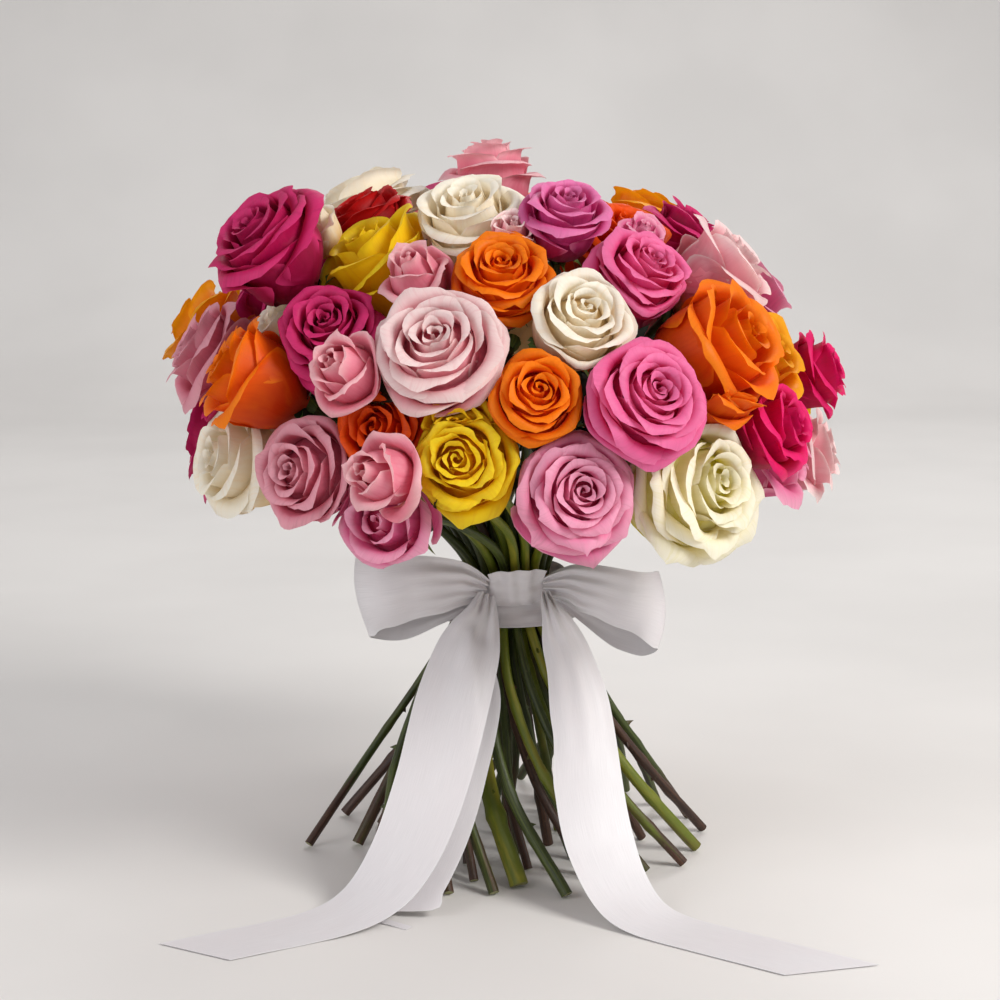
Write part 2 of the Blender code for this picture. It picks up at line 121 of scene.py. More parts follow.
class Nodes:
    """A material's node tree, with short ways to add and join its nodes."""

    def __init__(self, name):
        self.material = bpy.data.materials.new(name)
        self.material.use_nodes = True
        self.tree = self.material.node_tree
        self.tree.nodes.clear()
        self.output = self.tree.nodes.new("ShaderNodeOutputMaterial")

    def add(self, kind, links=None, **settings):
        """A node with its inputs fed, each from a value or from another node's output."""
        node = self.tree.nodes.new(kind)
        for key, value in settings.items():
            setattr(node, key, value)
        for socket, value in (links or {}).items():
            self.feed(node.inputs[socket], value)
        return node

    def feed(self, socket, value):
        if isinstance(value, bpy.types.NodeSocket):
            self.tree.links.new(value, socket)
        elif isinstance(value, np.ndarray) and socket.type == "RGBA":
            socket.default_value = (*value, 1.0)
        else:
            socket.default_value = value

    def maths(self, operation, first, second):
        node = self.add("ShaderNodeMath", operation=operation)
        self.feed(node.inputs[0], first)
        self.feed(node.inputs[1], second)
        return node.outputs[0]

    def plus(self, first, second):
        return self.maths("ADD", first, second)

    def minus(self, first, second):
        return self.maths("SUBTRACT", first, second)

    def times(self, first, second):
        return self.maths("MULTIPLY", first, second)

    def fade(self, value, low, high, start=0.0, end=1.0):
        """Smooth step of a value between two levels."""
        node = self.add("ShaderNodeMapRange", interpolation_type="SMOOTHSTEP")
        for socket, number in zip(node.inputs, (value, low, high, start, end)):
            self.feed(socket, number)
        return node.outputs[0]

    def mix(self, share, first, second, blend="MIX"):
        """One colour with a share of another over it."""
        node = self.add("ShaderNodeMix", data_type="RGBA", blend_type=blend)
        self.feed(node.inputs[0], share)
        self.feed(node.inputs[6], first)
        self.feed(node.inputs[7], second)
        return node.outputs[2]

    def split(self, name):
        """The three numbers of a named vector attribute of the mesh."""
        source = self.add("ShaderNodeAttribute", attribute_name=name)
        parts = self.add("ShaderNodeSeparateXYZ", {0: source.outputs["Vector"]})
        return parts.outputs[0], parts.outputs[1], parts.outputs[2]

    def join(self, x, y, z):
        return self.add("ShaderNodeCombineXYZ", {0: x, 1: y, 2: z}).outputs[0]

    def noise(self, vector, scale, detail, roughness=0.5):
        links = {"Vector": vector, "Scale": scale, "Detail": detail, "Roughness": roughness}
        return self.add("ShaderNodeTexNoise", links).outputs["Fac"]

    def grain(self, place, fine, detail, roughness=0.5, scale=1.0):
        """Noise over a piece, so many times finer across it and along it, and its own on each."""
        across, along, number = place
        drawn = self.join(self.times(across, fine[0]), self.times(along, fine[1]), number)
        return self.noise(drawn, scale, detail, roughness)

    def bump(self, height, strength, distance):
        links = {"Height": height, "Strength": strength, "Distance": distance}
        return self.add("ShaderNodeBump", links).outputs["Normal"]

    def shader(self, base, roughness, normal=None, **constants):
        links = {"Base Color": base, "Roughness": roughness}
        if normal is not None:
            links["Normal"] = normal
        for key, value in constants.items():
            links[key.replace("_", " ")] = value
        return self.add("ShaderNodeBsdfPrincipled", links)

    def finish(self, surface):
        """The material, once its surface is joined to its output."""
        self.tree.links.new(surface.outputs[0], self.output.inputs["Surface"])
        return self.material

    def lit_through(self, surface, share, links):
        """The material of a thin piece, which lets a share of the light through."""
        through = self.add("ShaderNodeBsdfTranslucent", links)
        parts = {0: share, 1: surface.outputs[0], 2: through.outputs[0]}
        return self.finish(self.add("ShaderNodeMixShader", parts))


def petal_material(name, palette, reach, translucency=0.30, rim_highlight_strength=0.85):
    """Petals: a deep foot and heart, partly the rose's own deeper colour and partly painted shade of
    the valleys; a soft body; a paler rim, partly its own and partly a painted highlight; fine
    lengthwise veins and mottling.

    The mesh attributes say where on its petal a point lies: "petal" holds the distance across,
    the share of the way up and the petal's own number, and "zone" the nearness to the rim, the
    petal's age from heart to guard petal, and its own lightness.
    """
    deep_and_shade, body, rim, foot = (enriched(colour(*swatch)) for swatch in palette)
    nodes = Nodes("petal_" + name)
    place = nodes.split("petal")
    edge, age, tone = nodes.split("zone")
    veins = nodes.grain(place, (16.0, 1.6), 4.0, 0.6)
    cloud = nodes.grain(place, (2.4, 3.0), 2.0, scale=1.3)
    velvet = nodes.noise(nodes.add("ShaderNodeTexCoord").outputs["Object"], 900.0, 2.0)

    rise = nodes.plus(place[1], nodes.times(nodes.minus(cloud, 0.5), 0.35))
    # Painted shade: the deep colour fills the foot of every petal and the heart's petals, partly the
    # rose's own deeper colour and partly the shade of the valleys between petals.
    inner = nodes.fade(age, 0.0, 0.55, reach, 0.0)
    grown = nodes.fade(nodes.minus(rise, inner), 0.15, 0.92)
    base = nodes.mix(grown, deep_and_shade, body)
    footed = nodes.times(nodes.fade(rise, 0.42, 0.10), nodes.fade(age, 0.35, 0.75))
    base = nodes.mix(footed, base, foot)
    # Painted highlight: the paler rim colour along each petal's edge is partly the rose's own pale edge
    # and partly a painted highlight on the rolled rims.
    ragged = nodes.plus(edge, nodes.times(nodes.minus(veins, 0.5), 0.16))
    pale_rim_and_highlight = nodes.times(nodes.fade(ragged, 0.78, 1.0), rim_highlight_strength)
    base = nodes.mix(pale_rim_and_highlight, base, rim)
    base = nodes.mix(nodes.fade(veins, 0.42, 0.72, 0.0, 0.22), base, deep_and_shade)
    base = nodes.mix(nodes.fade(cloud, 0.48, 0.75, 0.0, 0.15), base, rim)
    base = nodes.mix(1.0, base, nodes.join(tone, tone, tone), "MULTIPLY")

    height = nodes.plus(nodes.times(veins, 0.8), nodes.times(velvet, 0.2))
    normal = nodes.bump(height, 0.35, 0.0006)
    rough = nodes.fade(cloud, 0.3, 0.7, 0.46, 0.60)
    surface = nodes.shader(
        base, rough, normal, Sheen_Weight=0.03, Sheen_Roughness=0.4, Specular_IOR_Level=0.25
    )
    return nodes.lit_through(surface, translucency, {"Color": base, "Normal": normal})


def stem_material():
    """Stems: green, with the bark's warm brown patches over it and fine ridges along it."""
    nodes = Nodes("stem_bark")
    place = nodes.split("petal")
    pith, brown, tone = nodes.split("zone")
    ridge = nodes.grain(place, (5.0, 30.0), 4.0, 0.65)
    patch = nodes.grain(place, (1.0, 22.0), 3.0, 0.6)
    speck = nodes.noise(nodes.add("ShaderNodeTexCoord").outputs["Object"], 700.0, 3.0, 0.6)
    green = nodes.mix(nodes.fade(ridge, 0.3, 0.75), colour(34, 44, 10), colour(80, 92, 24))
    fresh = nodes.mix(nodes.fade(patch, 0.4, 0.7), colour(96, 108, 18), colour(150, 142, 36))
    bark = nodes.mix(nodes.fade(ridge, 0.3, 0.75), colour(44, 24, 15), colour(90, 56, 36))
    base = nodes.mix(nodes.fade(tone, 0.72, 0.95), green, fresh)
    patchy = nodes.plus(brown, nodes.minus(patch, 0.5))
    base = nodes.mix(nodes.fade(patchy, 0.45, 0.75), base, bark)
    base = nodes.mix(nodes.fade(speck, 0.60, 0.74, 0.0, 0.25), base, colour(120, 112, 70))
    base = nodes.mix(pith, base, colour(150, 150, 96))
    height = nodes.plus(ridge, nodes.times(speck, 0.5))
    rough = nodes.fade(patch, 0.3, 0.7, 0.38, 0.55)
    return nodes.finish(nodes.shader(base, rough, nodes.bump(height, 0.5, 0.0006)))


def leaf_material():
    """Calyces, sepals and leaves: streaked green, warmer at the tips, the leaves much darker.

    The leaves' near black-green is partly their own deep green and partly painted shade of the
    gaps inside the dome.
    """
    nodes = Nodes("calyx_green")
    place = nodes.split("petal")
    _, midrib, calyx = nodes.split("zone")
    streak = nodes.grain(place, (10.0, 1.5), 4.0, 0.6)
    base = nodes.mix(nodes.fade(streak, 0.3, 0.7), colour(52, 84, 26), colour(122, 150, 62))
    base = nodes.mix(nodes.fade(place[1], 0.6, 1.1, 0.0, 0.5), base, colour(150, 120, 60))
    # Painted shade: the leaves' colour is near black-green, partly their own dark green and partly the
    # shade that fills the gaps between the blooms.
    leaf_green_and_shade = nodes.mix(nodes.fade(streak, 0.3, 0.7), colour(18, 30, 14), colour(34, 50, 22))
    leaf_green_and_shade = nodes.mix(nodes.fade(midrib, 0.08, 0.0, 0.0, 0.6), leaf_green_and_shade, colour(60, 80, 40))
    base = nodes.mix(nodes.fade(calyx, 0.9, 0.8), base, leaf_green_and_shade)
    rough = nodes.fade(streak, 0.3, 0.7, 0.5, 0.6)
    return nodes.finish(nodes.shader(base, rough, nodes.bump(streak, 0.5, 0.0005)))


def satin_material():
    """White satin: fine threads along the ribbon, a soft sheen across them, and faint creases given as
    soft patches of painted shade, a little darker.
    """
    nodes = Nodes("white_satin")
    place = nodes.split("petal")
    edge, _, _ = nodes.split("zone")
    thread = nodes.grain(place, (5000.0, 60.0), 2.0, 0.6)
    weft = nodes.grain(place, (60.0, 1500.0), 1.0)
    soft = nodes.grain(place, (30.0, 10.0), 2.0)
    base = nodes.mix(nodes.fade(thread, 0.3, 0.7), colour(230, 227, 229), colour(240, 237, 239))
    # Painted shade: soft patches a little darker, standing for the shade of faint creases.
    base = nodes.mix(nodes.fade(soft, 0.35, 0.7, 0.0, 0.4), base, colour(230, 224, 226))
    base = nodes.mix(nodes.fade(edge, 0.93, 0.99, 0.0, 0.5), base, colour(240, 239, 240))
    height = nodes.plus(nodes.times(thread, 0.7), nodes.times(weft, 0.3))
    rough = nodes.fade(soft, 0.3, 0.7, 0.42, 0.50)
    surface = nodes.shader(
        base, rough, nodes.bump(height, 0.12, 0.0002),
        Sheen_Weight=0.15, Sheen_Roughness=0.3, Anisotropic=0.35, Specular_IOR_Level=0.40,
    )
    return nodes.lit_through(surface, 0.12, {"Color": base})


def twine_material():
    """Jute twine: twisted strands of dull brown fibre."""
    nodes = Nodes("jute_twine")
    fibre = nodes.noise(nodes.add("ShaderNodeTexCoord").outputs["Object"], 1400.0, 4.0, 0.7)
    base = nodes.mix(nodes.fade(fibre, 0.3, 0.7), colour(104, 78, 44), colour(176, 146, 98))
    return nodes.finish(nodes.shader(base, 0.85, nodes.bump(fibre, 0.7, 0.0006)))


# ---------------------------------------------------------------- meshes

WELD = 2e-6  # corners nearer than this become one, where grids are welded
SHARP = math.radians(50)  # and edges that turn by more than this stay sharp
CELL_MARGIN = 0.04  # of the texture map's cells


class Mesh:
    """Collects grids of points into one mesh, each with its own cell of the texture map."""

    def __init__(self):
        self.points, self.faces, self.petals, self.zones, self.corners = [], [], [], [], []
        self.count = 0

    def add_grid(self, points, petal, zone, closed=False):
        """A grid of points, rows by columns. A closed grid joins its last column to its first."""
        rows, columns = points.shape[:2]
        index = np.arange(rows * columns).reshape(rows, columns) + self.count
        left = index if closed else index[:, :-1]
        right = np.roll(index, -1, axis=1) if closed else index[:, 1:]
        quads = np.stack((left[:-1], right[:-1], right[1:], left[1:]), axis=-1).reshape(-1, 4)
        self.points.append(points.reshape(-1, 3))
        self.petals.append(petal.reshape(-1, 3))
        self.zones.append(zone.reshape(-1, 3))
        self.faces.append(quads)
        steps = left.shape[1]
        column, row = np.meshgrid(np.arange(steps), np.arange(rows - 1))
        wide = np.stack((column, column + 1, column + 1, column), axis=-1) / steps
        high = np.stack((row, row, row + 1, row + 1), axis=-1) / (rows - 1)
        self.corners.append(np.stack((wide, high), axis=-1).reshape(-1, 4, 2))
        self.count += rows * columns

    def add_sheet(self, points, petal, zone, thickness):
        """A grid given a thickness: a face on each side and a narrow band round the four edges."""
        offset = 0.5 * thickness * grid_normals(points)
        front, back = points + offset, points - offset
        self.add_grid(front, petal, zone)
        self.add_grid(back[:, ::-1], petal[:, ::-1], zone[:, ::-1])
        onward, returning = slice(None), slice(None, None, -1)
        for edge in ((0, onward), (onward, -1), (-1, returning), (returning, 0)):
            band = np.stack((back[edge], front[edge]))
            self.add_grid(band, np.stack((petal[edge],) * 2), np.stack((zone[edge],) * 2))

    def build(self, name, material, weld=False):
        """The collected grids as one object. Welding joins the edges where grids meet."""
        points = np.concatenate(self.points)
        faces = np.concatenate(self.faces)
        data = bpy.data.meshes.new(name)
        data.vertices.add(len(points))
        data.vertices.foreach_set("co", points.astype(np.float32).ravel())
        data.loops.add(faces.size)
        data.loops.foreach_set("vertex_index", faces.astype(np.int32).ravel())
        data.polygons.add(len(faces))
        data.polygons.foreach_set("loop_start", np.arange(0, faces.size, 4, dtype=np.int32))
        data.polygons.foreach_set("loop_total", np.full(len(faces), 4, np.int32))
        data.polygons.foreach_set("use_smooth", np.ones(len(faces), bool))
        data.materials.append(material)
        data.update(calc_edges=True)
        for key, values in (("petal", self.petals), ("zone", self.zones)):
            layer = data.attributes.new(key, "FLOAT_VECTOR", "POINT")
            layer.data.foreach_set("vector", np.concatenate(values).astype(np.float32).ravel())
        self.lay_out(data)
        if weld:
            welded = bmesh.new()
            welded.from_mesh(data)
            bmesh.ops.remove_doubles(welded, verts=welded.verts[:], dist=WELD)
            welded.to_mesh(data)
            welded.free()
            data.set_sharp_from_angle(angle=SHARP)
        piece = bpy.data.objects.new(name, data)
        SCENE.collection.objects.link(piece)
        return piece

    def lay_out(self, data):
        """Texture map: the grids side by side in equal cells, with a margin round each."""
        filled = 1 - 2 * CELL_MARGIN
        number = len(self.corners)
        wide = math.ceil(math.sqrt(number))
        high = math.ceil(number / wide)
        placed = []
        for index, corners in enumerate(self.corners):
            corner = np.array((index % wide, index // wide), float)
            placed.append((corner + CELL_MARGIN + filled * corners) / (wide, high))
        layer = data.uv_layers.new(name="OFBake")
        layer.data.foreach_set("uv", np.concatenate(placed).astype(np.float32).ravel())


def fields(grid, first, second, third):
    """Three numbers for every point of a grid, each given as one number or one for each point."""
    shape = grid.shape[:2]
    return np.stack([np.broadcast_to(value, shape) for value in (first, second, third)], axis=-1)


def travelled(points):
    """Distance along a line of points, from its first."""
    return np.concatenate(((0.0,), np.cumsum(np.linalg.norm(np.diff(points, axis=0), axis=1))))


def grid_normals(points):
    """Unit normals of a grid of points, rows by columns."""
    along, across = np.gradient(points, axis=0), np.gradient(points, axis=1)
    normals = np.cross(across, along)
    return normals / np.maximum(np.linalg.norm(normals, axis=-1, keepdims=True), 1e-12)


def smooth_rows(rows, steps):
    """Rows of numbers on a smooth curve through the given rows, with steps between each two."""
    rows = np.array(rows, float)
    padded = np.concatenate((2 * rows[:1] - rows[1:2], rows, 2 * rows[-1:] - rows[-2:-1]))
    share = (np.arange(steps) / steps)[:, None]
    made = []
    for before, start, end, after in zip(padded, padded[1:], padded[2:], padded[3:]):
        leave, arrive = 0.5 * (end - before), 0.5 * (after - start)
        made.append(start * (2 * share**3 - 3 * share**2 + 1) + leave * (share**3 - 2 * share**2 + share)
                    + end * (3 * share**2 - 2 * share**3) + arrive * (share**3 - share**2))
    return np.concatenate((*made, rows[-1:]))


def smoothstep(value):
    """From 0 to 1 as the value goes from 0 to 1, level at both ends."""
    value = np.clip(value, 0.0, 1.0)
    return value * value * (3 - 2 * value)


def rolled(across, along, lift, angle, start, radius, most):
    """Roll a flat sheet back past a line, round a cylinder of the given radius.

    The line crosses the sheet's middle at start, square to a direction at angle from straight up.
    """
    out = across * math.sin(angle) + (along - start) * math.cos(angle)
    past = np.clip(out, 0.0, None)
    soft = past * past / (past + 0.5 * radius)
    turn = np.minimum(soft / radius, most)
    rest = np.clip(soft - most * radius, 0.0, None)
    reach = radius * np.sin(turn) + rest * np.cos(turn)
    back = radius * (1 - np.cos(turn)) + rest * np.sin(turn)
    shift = np.where(past > 0, past - reach, 0.0)
    return across - shift * math.sin(angle), along - shift * math.cos(angle), lift + back


def bezier(knots, shares):
    """Points of a cubic curve from its first knot to its last, drawn towards the two between."""
    share = shares[:, None]
    rest = 1 - share
    weights = (rest**3, 3 * rest**2 * share, 3 * rest * share**2, share**3)
    return sum(weight * np.array(knot, float)[None, :] for weight, knot in zip(weights, knots))


PROFILE_POINTS = 80


def petal_points(form, columns, rows):
    """Points of one petal, with the share of the way across, up and to the rim.

    A flat petal, narrow at its foot and broad near its tip, has its corners rolled back along two
    slanting lines, which leaves a point between them. It is then laid on a surface that rises
    from the foot along a profile and wraps round the bloom's axis.
    """
    # closer together towards the edges and the tip, where the petal bends most
    u = np.linspace(-1, 1, columns + 1)
    u = np.sign(u) * (1 - (1 - np.abs(u)) ** 1.25)
    v = 1 - (1 - np.linspace(0, 1, rows + 1)) ** 1.45
    u, v = np.meshgrid(u, v)

    foot, tip, rise, lean = form["foot"], form["tip"], form["rise"], form["lean"]
    span = math.dist(foot, tip)
    out, back = form["belly"] * span, 0.42 * span
    belly = (foot[0] + out * math.sin(rise), foot[1] + out * math.cos(rise))
    neck = (tip[0] - back * math.sin(lean), tip[1] - back * math.cos(lean))
    track = bezier((foot, belly, neck, tip), np.linspace(0, 1, PROFILE_POINTS))
    reach = travelled(track)
    length = reach[-1]

    half = form["half"]
    broad = 0.20 + 0.80 * smoothstep(v / 0.66) - form["taper"] * smoothstep((v - 0.66) / 0.34)
    across = u * half * broad
    point = form["mucro"] * np.exp(-((u / 0.22) ** 2))
    slow, slow_phase, quick, quick_phase = form["waves"]
    nicks = form["nick"] * np.sin(quick * 1.9 * u + slow_phase) * np.cos(slow * 3.1 * u)
    shoulders = form["drop"] * np.abs(u) ** 2.3 * v**2
    along = length * v * (1 - shoulders + (point + form["over"] + nicks) * v**6)
    waves = np.sin(slow * u + slow_phase) * 0.6 + np.sin(quick * u + quick_phase) * 0.4
    outer = 0.35 + 0.65 * np.maximum(np.abs(u), v) ** 3
    lift = form["ruffle"] * waves * smoothstep((v - 0.35) / 0.65) * outer
    dome = (1 - u**2) * smoothstep(v / 0.5) * (1 - smoothstep((v - 0.6) / 0.4))
    lift = lift + form["crown"] * dome
    for side in (1, -1):
        angle = form["roll_angle"] * side + form["twist"]
        radius = form["roll_radius"] * (1 + 0.25 * side * form["uneven"])
        start = length * (1 - form["roll_depth"] * (1 + side * form["uneven"]))
        across, along, lift = rolled(across, along, lift, angle, start, radius, form["roll_most"])

    radial = np.interp(along, reach, track[:, 0])
    height = np.interp(along, reach, track[:, 1])
    slope = np.gradient(track, reach, axis=0)
    slope_r = np.interp(along, reach, slope[:, 0])
    slope_z = np.interp(along, reach, slope[:, 1])
    past = along - length
    radial = radial + np.where(past > 0, past * slope_r, 0)
    height = height + np.where(past > 0, past * slope_z, 0)
    norm = np.hypot(slope_r, slope_z)
    slope_r, slope_z = slope_r / norm, slope_z / norm

    wrap = np.maximum(radial * form["wrap"], 0.03)
    turn = across / wrap
    heading = form["heading"]
    centre = radial - wrap
    spiral = form["spiral"] * turn
    reach_out = centre[..., None] * np.array((math.cos(heading), math.sin(heading)))
    arm = np.stack((np.cos(heading + turn), np.sin(heading + turn)), axis=-1)
    plan = reach_out + (wrap + spiral + lift * slope_z)[..., None] * arm
    points = np.concatenate((plan, (height - lift * slope_r)[..., None]), axis=-1)
    rim = np.maximum(np.abs(u) ** 1.5 * smoothstep((v - 0.1) / 0.5), v)
    return points, u * half, v, rim


GOLDEN_ANGLE = 2.39996  # radians from each petal to the next, as roses grow them

# Petals' tips in an open bloom, in a cupped one and in a bud, from the heart to the guard petals:
# age, radius, height, lean (degrees), half angle round the axis (degrees), wrap and roll.
OPEN = np.array((
    (0.00, 0.035, 0.93, -4, 175, 1.00, 0.02),
    (0.08, 0.085, 0.965, -6, 140, 1.00, 0.03),
    (0.20, 0.17, 0.985, -4, 112, 1.00, 0.04),
    (0.36, 0.31, 0.985, 4, 92, 1.00, 0.06),
    (0.55, 0.49, 0.965, 14, 76, 1.03, 0.09),
    (0.72, 0.67, 0.90, 30, 68, 1.06, 0.13),
    (0.86, 0.83, 0.79, 50, 62, 1.10, 0.17),
    (1.00, 0.97, 0.62, 76, 56, 1.15, 0.20),
))
CUP = np.array((
    (0.00, 0.03, 0.96, -10, 175, 1.00, 0.02),
    (0.12, 0.09, 0.98, -10, 140, 1.00, 0.03),
    (0.30, 0.22, 1.00, -6, 112, 1.00, 0.05),
    (0.50, 0.40, 1.00, 4, 92, 1.00, 0.08),
    (0.70, 0.60, 0.98, 20, 80, 1.02, 0.11),
    (0.86, 0.78, 0.92, 42, 75, 1.05, 0.15),
    (1.00, 0.94, 0.82, 70, 70, 1.08, 0.20),
))
BUD = np.array((
    (0.00, 0.03, 1.04, -18, 175, 1.00, 0.02),
    (0.15, 0.09, 1.06, -22, 140, 1.00, 0.03),
    (0.35, 0.18, 1.05, -20, 118, 1.00, 0.04),
    (0.55, 0.31, 1.00, -14, 96, 1.00, 0.07),
    (0.72, 0.46, 0.92, 2, 82, 1.02, 0.12),
    (0.86, 0.68, 0.78, 38, 72, 1.06, 0.18),
    (1.00, 0.95, 0.58, 80, 66, 1.10, 0.22),
))

# Ranges for a petal's slow waves and its quick ones: how many, then where they start.
WAVES = ((2.0, 4.5), (0, 6.3), (5.0, 9.0), (0, 6.3))


def bloom_forms(rng, count, openness, cupped, pointed, ruffle):
    """The petals of one bloom, from its heart outwards."""
    ages = np.linspace(0, 1, count) ** 0.92
    handed = 1 if rng.random() < 0.5 else -1
    start = rng.uniform(0, 2 * math.pi)
    forms = []
    for index, age in enumerate(ages):
        bud, opened, cup = (
            np.array([np.interp(age, form[:, 0], form[:, column]) for column in range(1, 7)])
            for form in (BUD, OPEN, CUP)
        )
        loose = bud + openness * (opened - bud)
        radius, height, lean, half_angle, wrap, roll = loose + cupped * (cup - loose)
        wild = 0.25 + 0.75 * age
        radius *= 1 + rng.normal(0, 0.035 * wild)
        height *= 1 + rng.normal(0, 0.016 * wild)
        lean = math.radians(lean + rng.normal(0, 7 * wild))
        widest = max(radius, 0.06) * wrap
        half = math.radians(half_angle) * max(widest, 0.30 * age + 0.05) * rng.uniform(0.94, 1.06)
        point = pointed * smoothstep((age - 0.25) / 0.5)
        forms.append({
            "age": age,
            "foot": (0.07 + 0.08 * age, DEPTH * (0.10 - 0.09 * age)),
            "tip": (radius, DEPTH * height),
            "lean": lean,
            "rise": math.radians(34 + 34 * age),
            "belly": 0.46 + 0.06 * age,
            "half": half,
            "taper": 0.22 + 0.18 * point,
            "mucro": 0.02 + 0.05 * point,
            "drop": 0.10 + 0.05 * age,
            "over": 0.02,
            "waves": [rng.uniform(*span) for span in WAVES],
            "ruffle": ruffle * (0.014 + 0.042 * age),
            "crown": 0.01 * age,
            "nick": 0.022 * ruffle * age,
            "roll_angle": math.radians(
                (12 + 22 * point) * (1 - 0.5 * cupped) + rng.normal(0, 4 * wild)
            ),
            "twist": rng.normal(0, 0.08 * wild),
            "uneven": rng.normal(0, 0.22 * wild),
            "roll_depth": roll * (1 - 0.45 * point),
            "roll_radius": 0.035 + 0.075 * age,
            "roll_most": math.radians((95 + 70 * age) * (1 - 0.3 * cupped)),
            "wrap": wrap,
            "heading": start + handed * (index * GOLDEN_ANGLE + rng.normal(0, 0.10 * wild)),
            "spiral": handed * 0.013,
            "tone": rng.uniform(0.93, 1.05),
        })
    return forms


def frame_rings(node, towards, sides):
    """Rings of points along a CAD tube or strip, from the end that lies furthest that way."""
    data = frame["nodes"][node].data
    raw = np.array([vertex.co for vertex in data.vertices])
    _, first, same = np.unique(np.round(raw, 6), axis=0, return_index=True, return_inverse=True)
    same = same.ravel()
    points = raw[first]
    near = [set() for _ in points]
    for edge in data.edges:
        one, two = (int(same[index]) for index in edge.vertices)
        if one != two:
            near[one].add(two)
            near[two].add(one)
    ring = set(int(index) for index in np.argsort(-points @ np.array(towards))[:sides])
    seen, rings = set(), []
    while ring:
        seen |= ring
        rings.append(points[sorted(ring)])
        ring = set().union(*(near[index] for index in ring)) - seen
    return rings


def axes_of(facing):
    """Three unit vectors, as columns, the last along the facing and the second upwards."""
    facing = facing / np.linalg.norm(facing)
    upward = np.array((0.0, 0.0, 1.0)) if abs(facing[2]) < 0.95 else np.array((0.0, 1.0, 0.0))
    side = np.cross(upward, facing)
    side /= np.linalg.norm(side)
    return np.stack((side, np.cross(facing, side), facing), axis=1)


# Size of each open bloom over its CAD bud, by the rose's number, where it isn't the usual.
USUAL_FULLNESS = 1.08
FULLNESS = {
    5: 0.92, 7: 0.90, 11: 0.98, 12: 1.40, 14: 1.05, 16: 1.10, 17: 1.14, 18: 1.12, 19: 1.25,
    20: 1.20, 22: 1.16, 23: 1.16, 24: 1.16, 25: 1.14, 27: 1.22, 28: 1.04, 29: 1.04, 30: 1.12,
    31: 1.15, 32: 1.10, 33: 1.20, 34: 1.30, 35: 0.90, 36: 1.25, 37: 1.10, 38: 1.20, 40: 1.12,
    41: 1.12, 44: 1.26, 45: 1.20, 46: 1.00, 47: 1.18, 48: 1.18, 49: 1.18, 50: 1.18, 51: 1.18,
    52: 1.18,
}


class Bloom:
    """Where a rose's bloom sits, from its CAD node."""

    def __init__(self, node):
        self.node = node
        self.index, self.kind = int(node.split("_")[1]), node.split("_", 2)[2]
        rings = frame_rings(node, (0.0, 0.0, -1.0), RING_SIDES)
        self.rings = np.array([ring.mean(axis=0) for ring in rings])
        self.radii = np.array([
            np.linalg.norm(ring - centre, axis=1).mean() for ring, centre in zip(rings, self.rings)
        ])
        base, top = self.rings[STEM_RINGS - 1], self.rings[-1]
        self.axis = (top - base) / np.linalg.norm(top - base)
        core = np.linalg.norm(top - base) / BLOOM_DEPTH / 2
        self.half = core * FULLNESS.get(self.index, USUAL_FULLNESS)
        self.axes = axes_of(self.axis)
        self.middle = base + MIDDLE * core * self.axis
        self.base = self.middle - MIDDLE * self.half * self.axis
        self.neighbours = []
        self.stout = self.russet = False

    def near(self, other):
        """Whether another bloom is close enough to press on this one."""
        apart = np.linalg.norm(other.middle - self.middle)
        return other is not self and apart < NEAR * (other.half + self.half)

    def stand(self, points):
        """Points of the bloom's own axes, in half diameters, in the frame."""
        return self.base + (points * self.half) @ self.axes.T

    def place(self, points):
        """The same for petals, pressed where they meet the bloom's neighbours."""
        placed = self.stand(points * np.array((SWELL, SWELL, 1.0)))
        for other in self.neighbours:
            towards = other.middle - self.middle
            apart = np.linalg.norm(towards)
            towards = towards / apart
            border = (apart * apart + self.half**2 - other.half**2) / (2 * apart)
            border += TUCK * self.half
            band = PRESS * self.half
            over = (placed - self.middle) @ towards - (border - band)
            kept = np.where(over > 0, band * (1 - np.exp(-np.maximum(over, 0) / band)), over)
            placed = placed + (kept - over)[..., None] * towards
        return placed


def add_petals(mesh, bloom, forms, columns, rows):
    """Petals of a bloom. Each one's number, from its heading, sets its veins and mottling."""
    for form in forms:
        points, across, along, rim = petal_points(form, columns, rows)
        petal = fields(points, across, along, form["heading"] * 3.7)
        zone = fields(points, rim, form["age"], form["tone"])
        mesh.add_grid(bloom.place(points), petal, zone)


def add_core(mesh, bloom, openness):
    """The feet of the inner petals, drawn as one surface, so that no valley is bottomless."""
    angle, shares = np.meshgrid(np.arange(16) * math.pi / 8, np.linspace(0.02, 1, 6))
    turn = angle + 0.9 * shares
    radius = (0.30 + 0.48 * openness) * shares
    height = DEPTH * (0.88 - 0.05 * openness - 0.38 * shares**2)
    points = fields(turn, radius * np.cos(turn), radius * np.sin(turn), height)
    petal = fields(points, 0.4 * np.sin(3 * turn), 0.30 + 0.25 * shares, 5.0)
    mesh.add_grid(bloom.place(points), petal, fields(points, 0, 0.5, 1), closed=True)


# The pieces of a rose: where each ends among its petals, and rows of points up each petal.
PARTS = (("heart", 0.34, 8), ("middle", 0.68, 11), ("outer", 1.0, 14))
PETAL_COLUMNS = 14

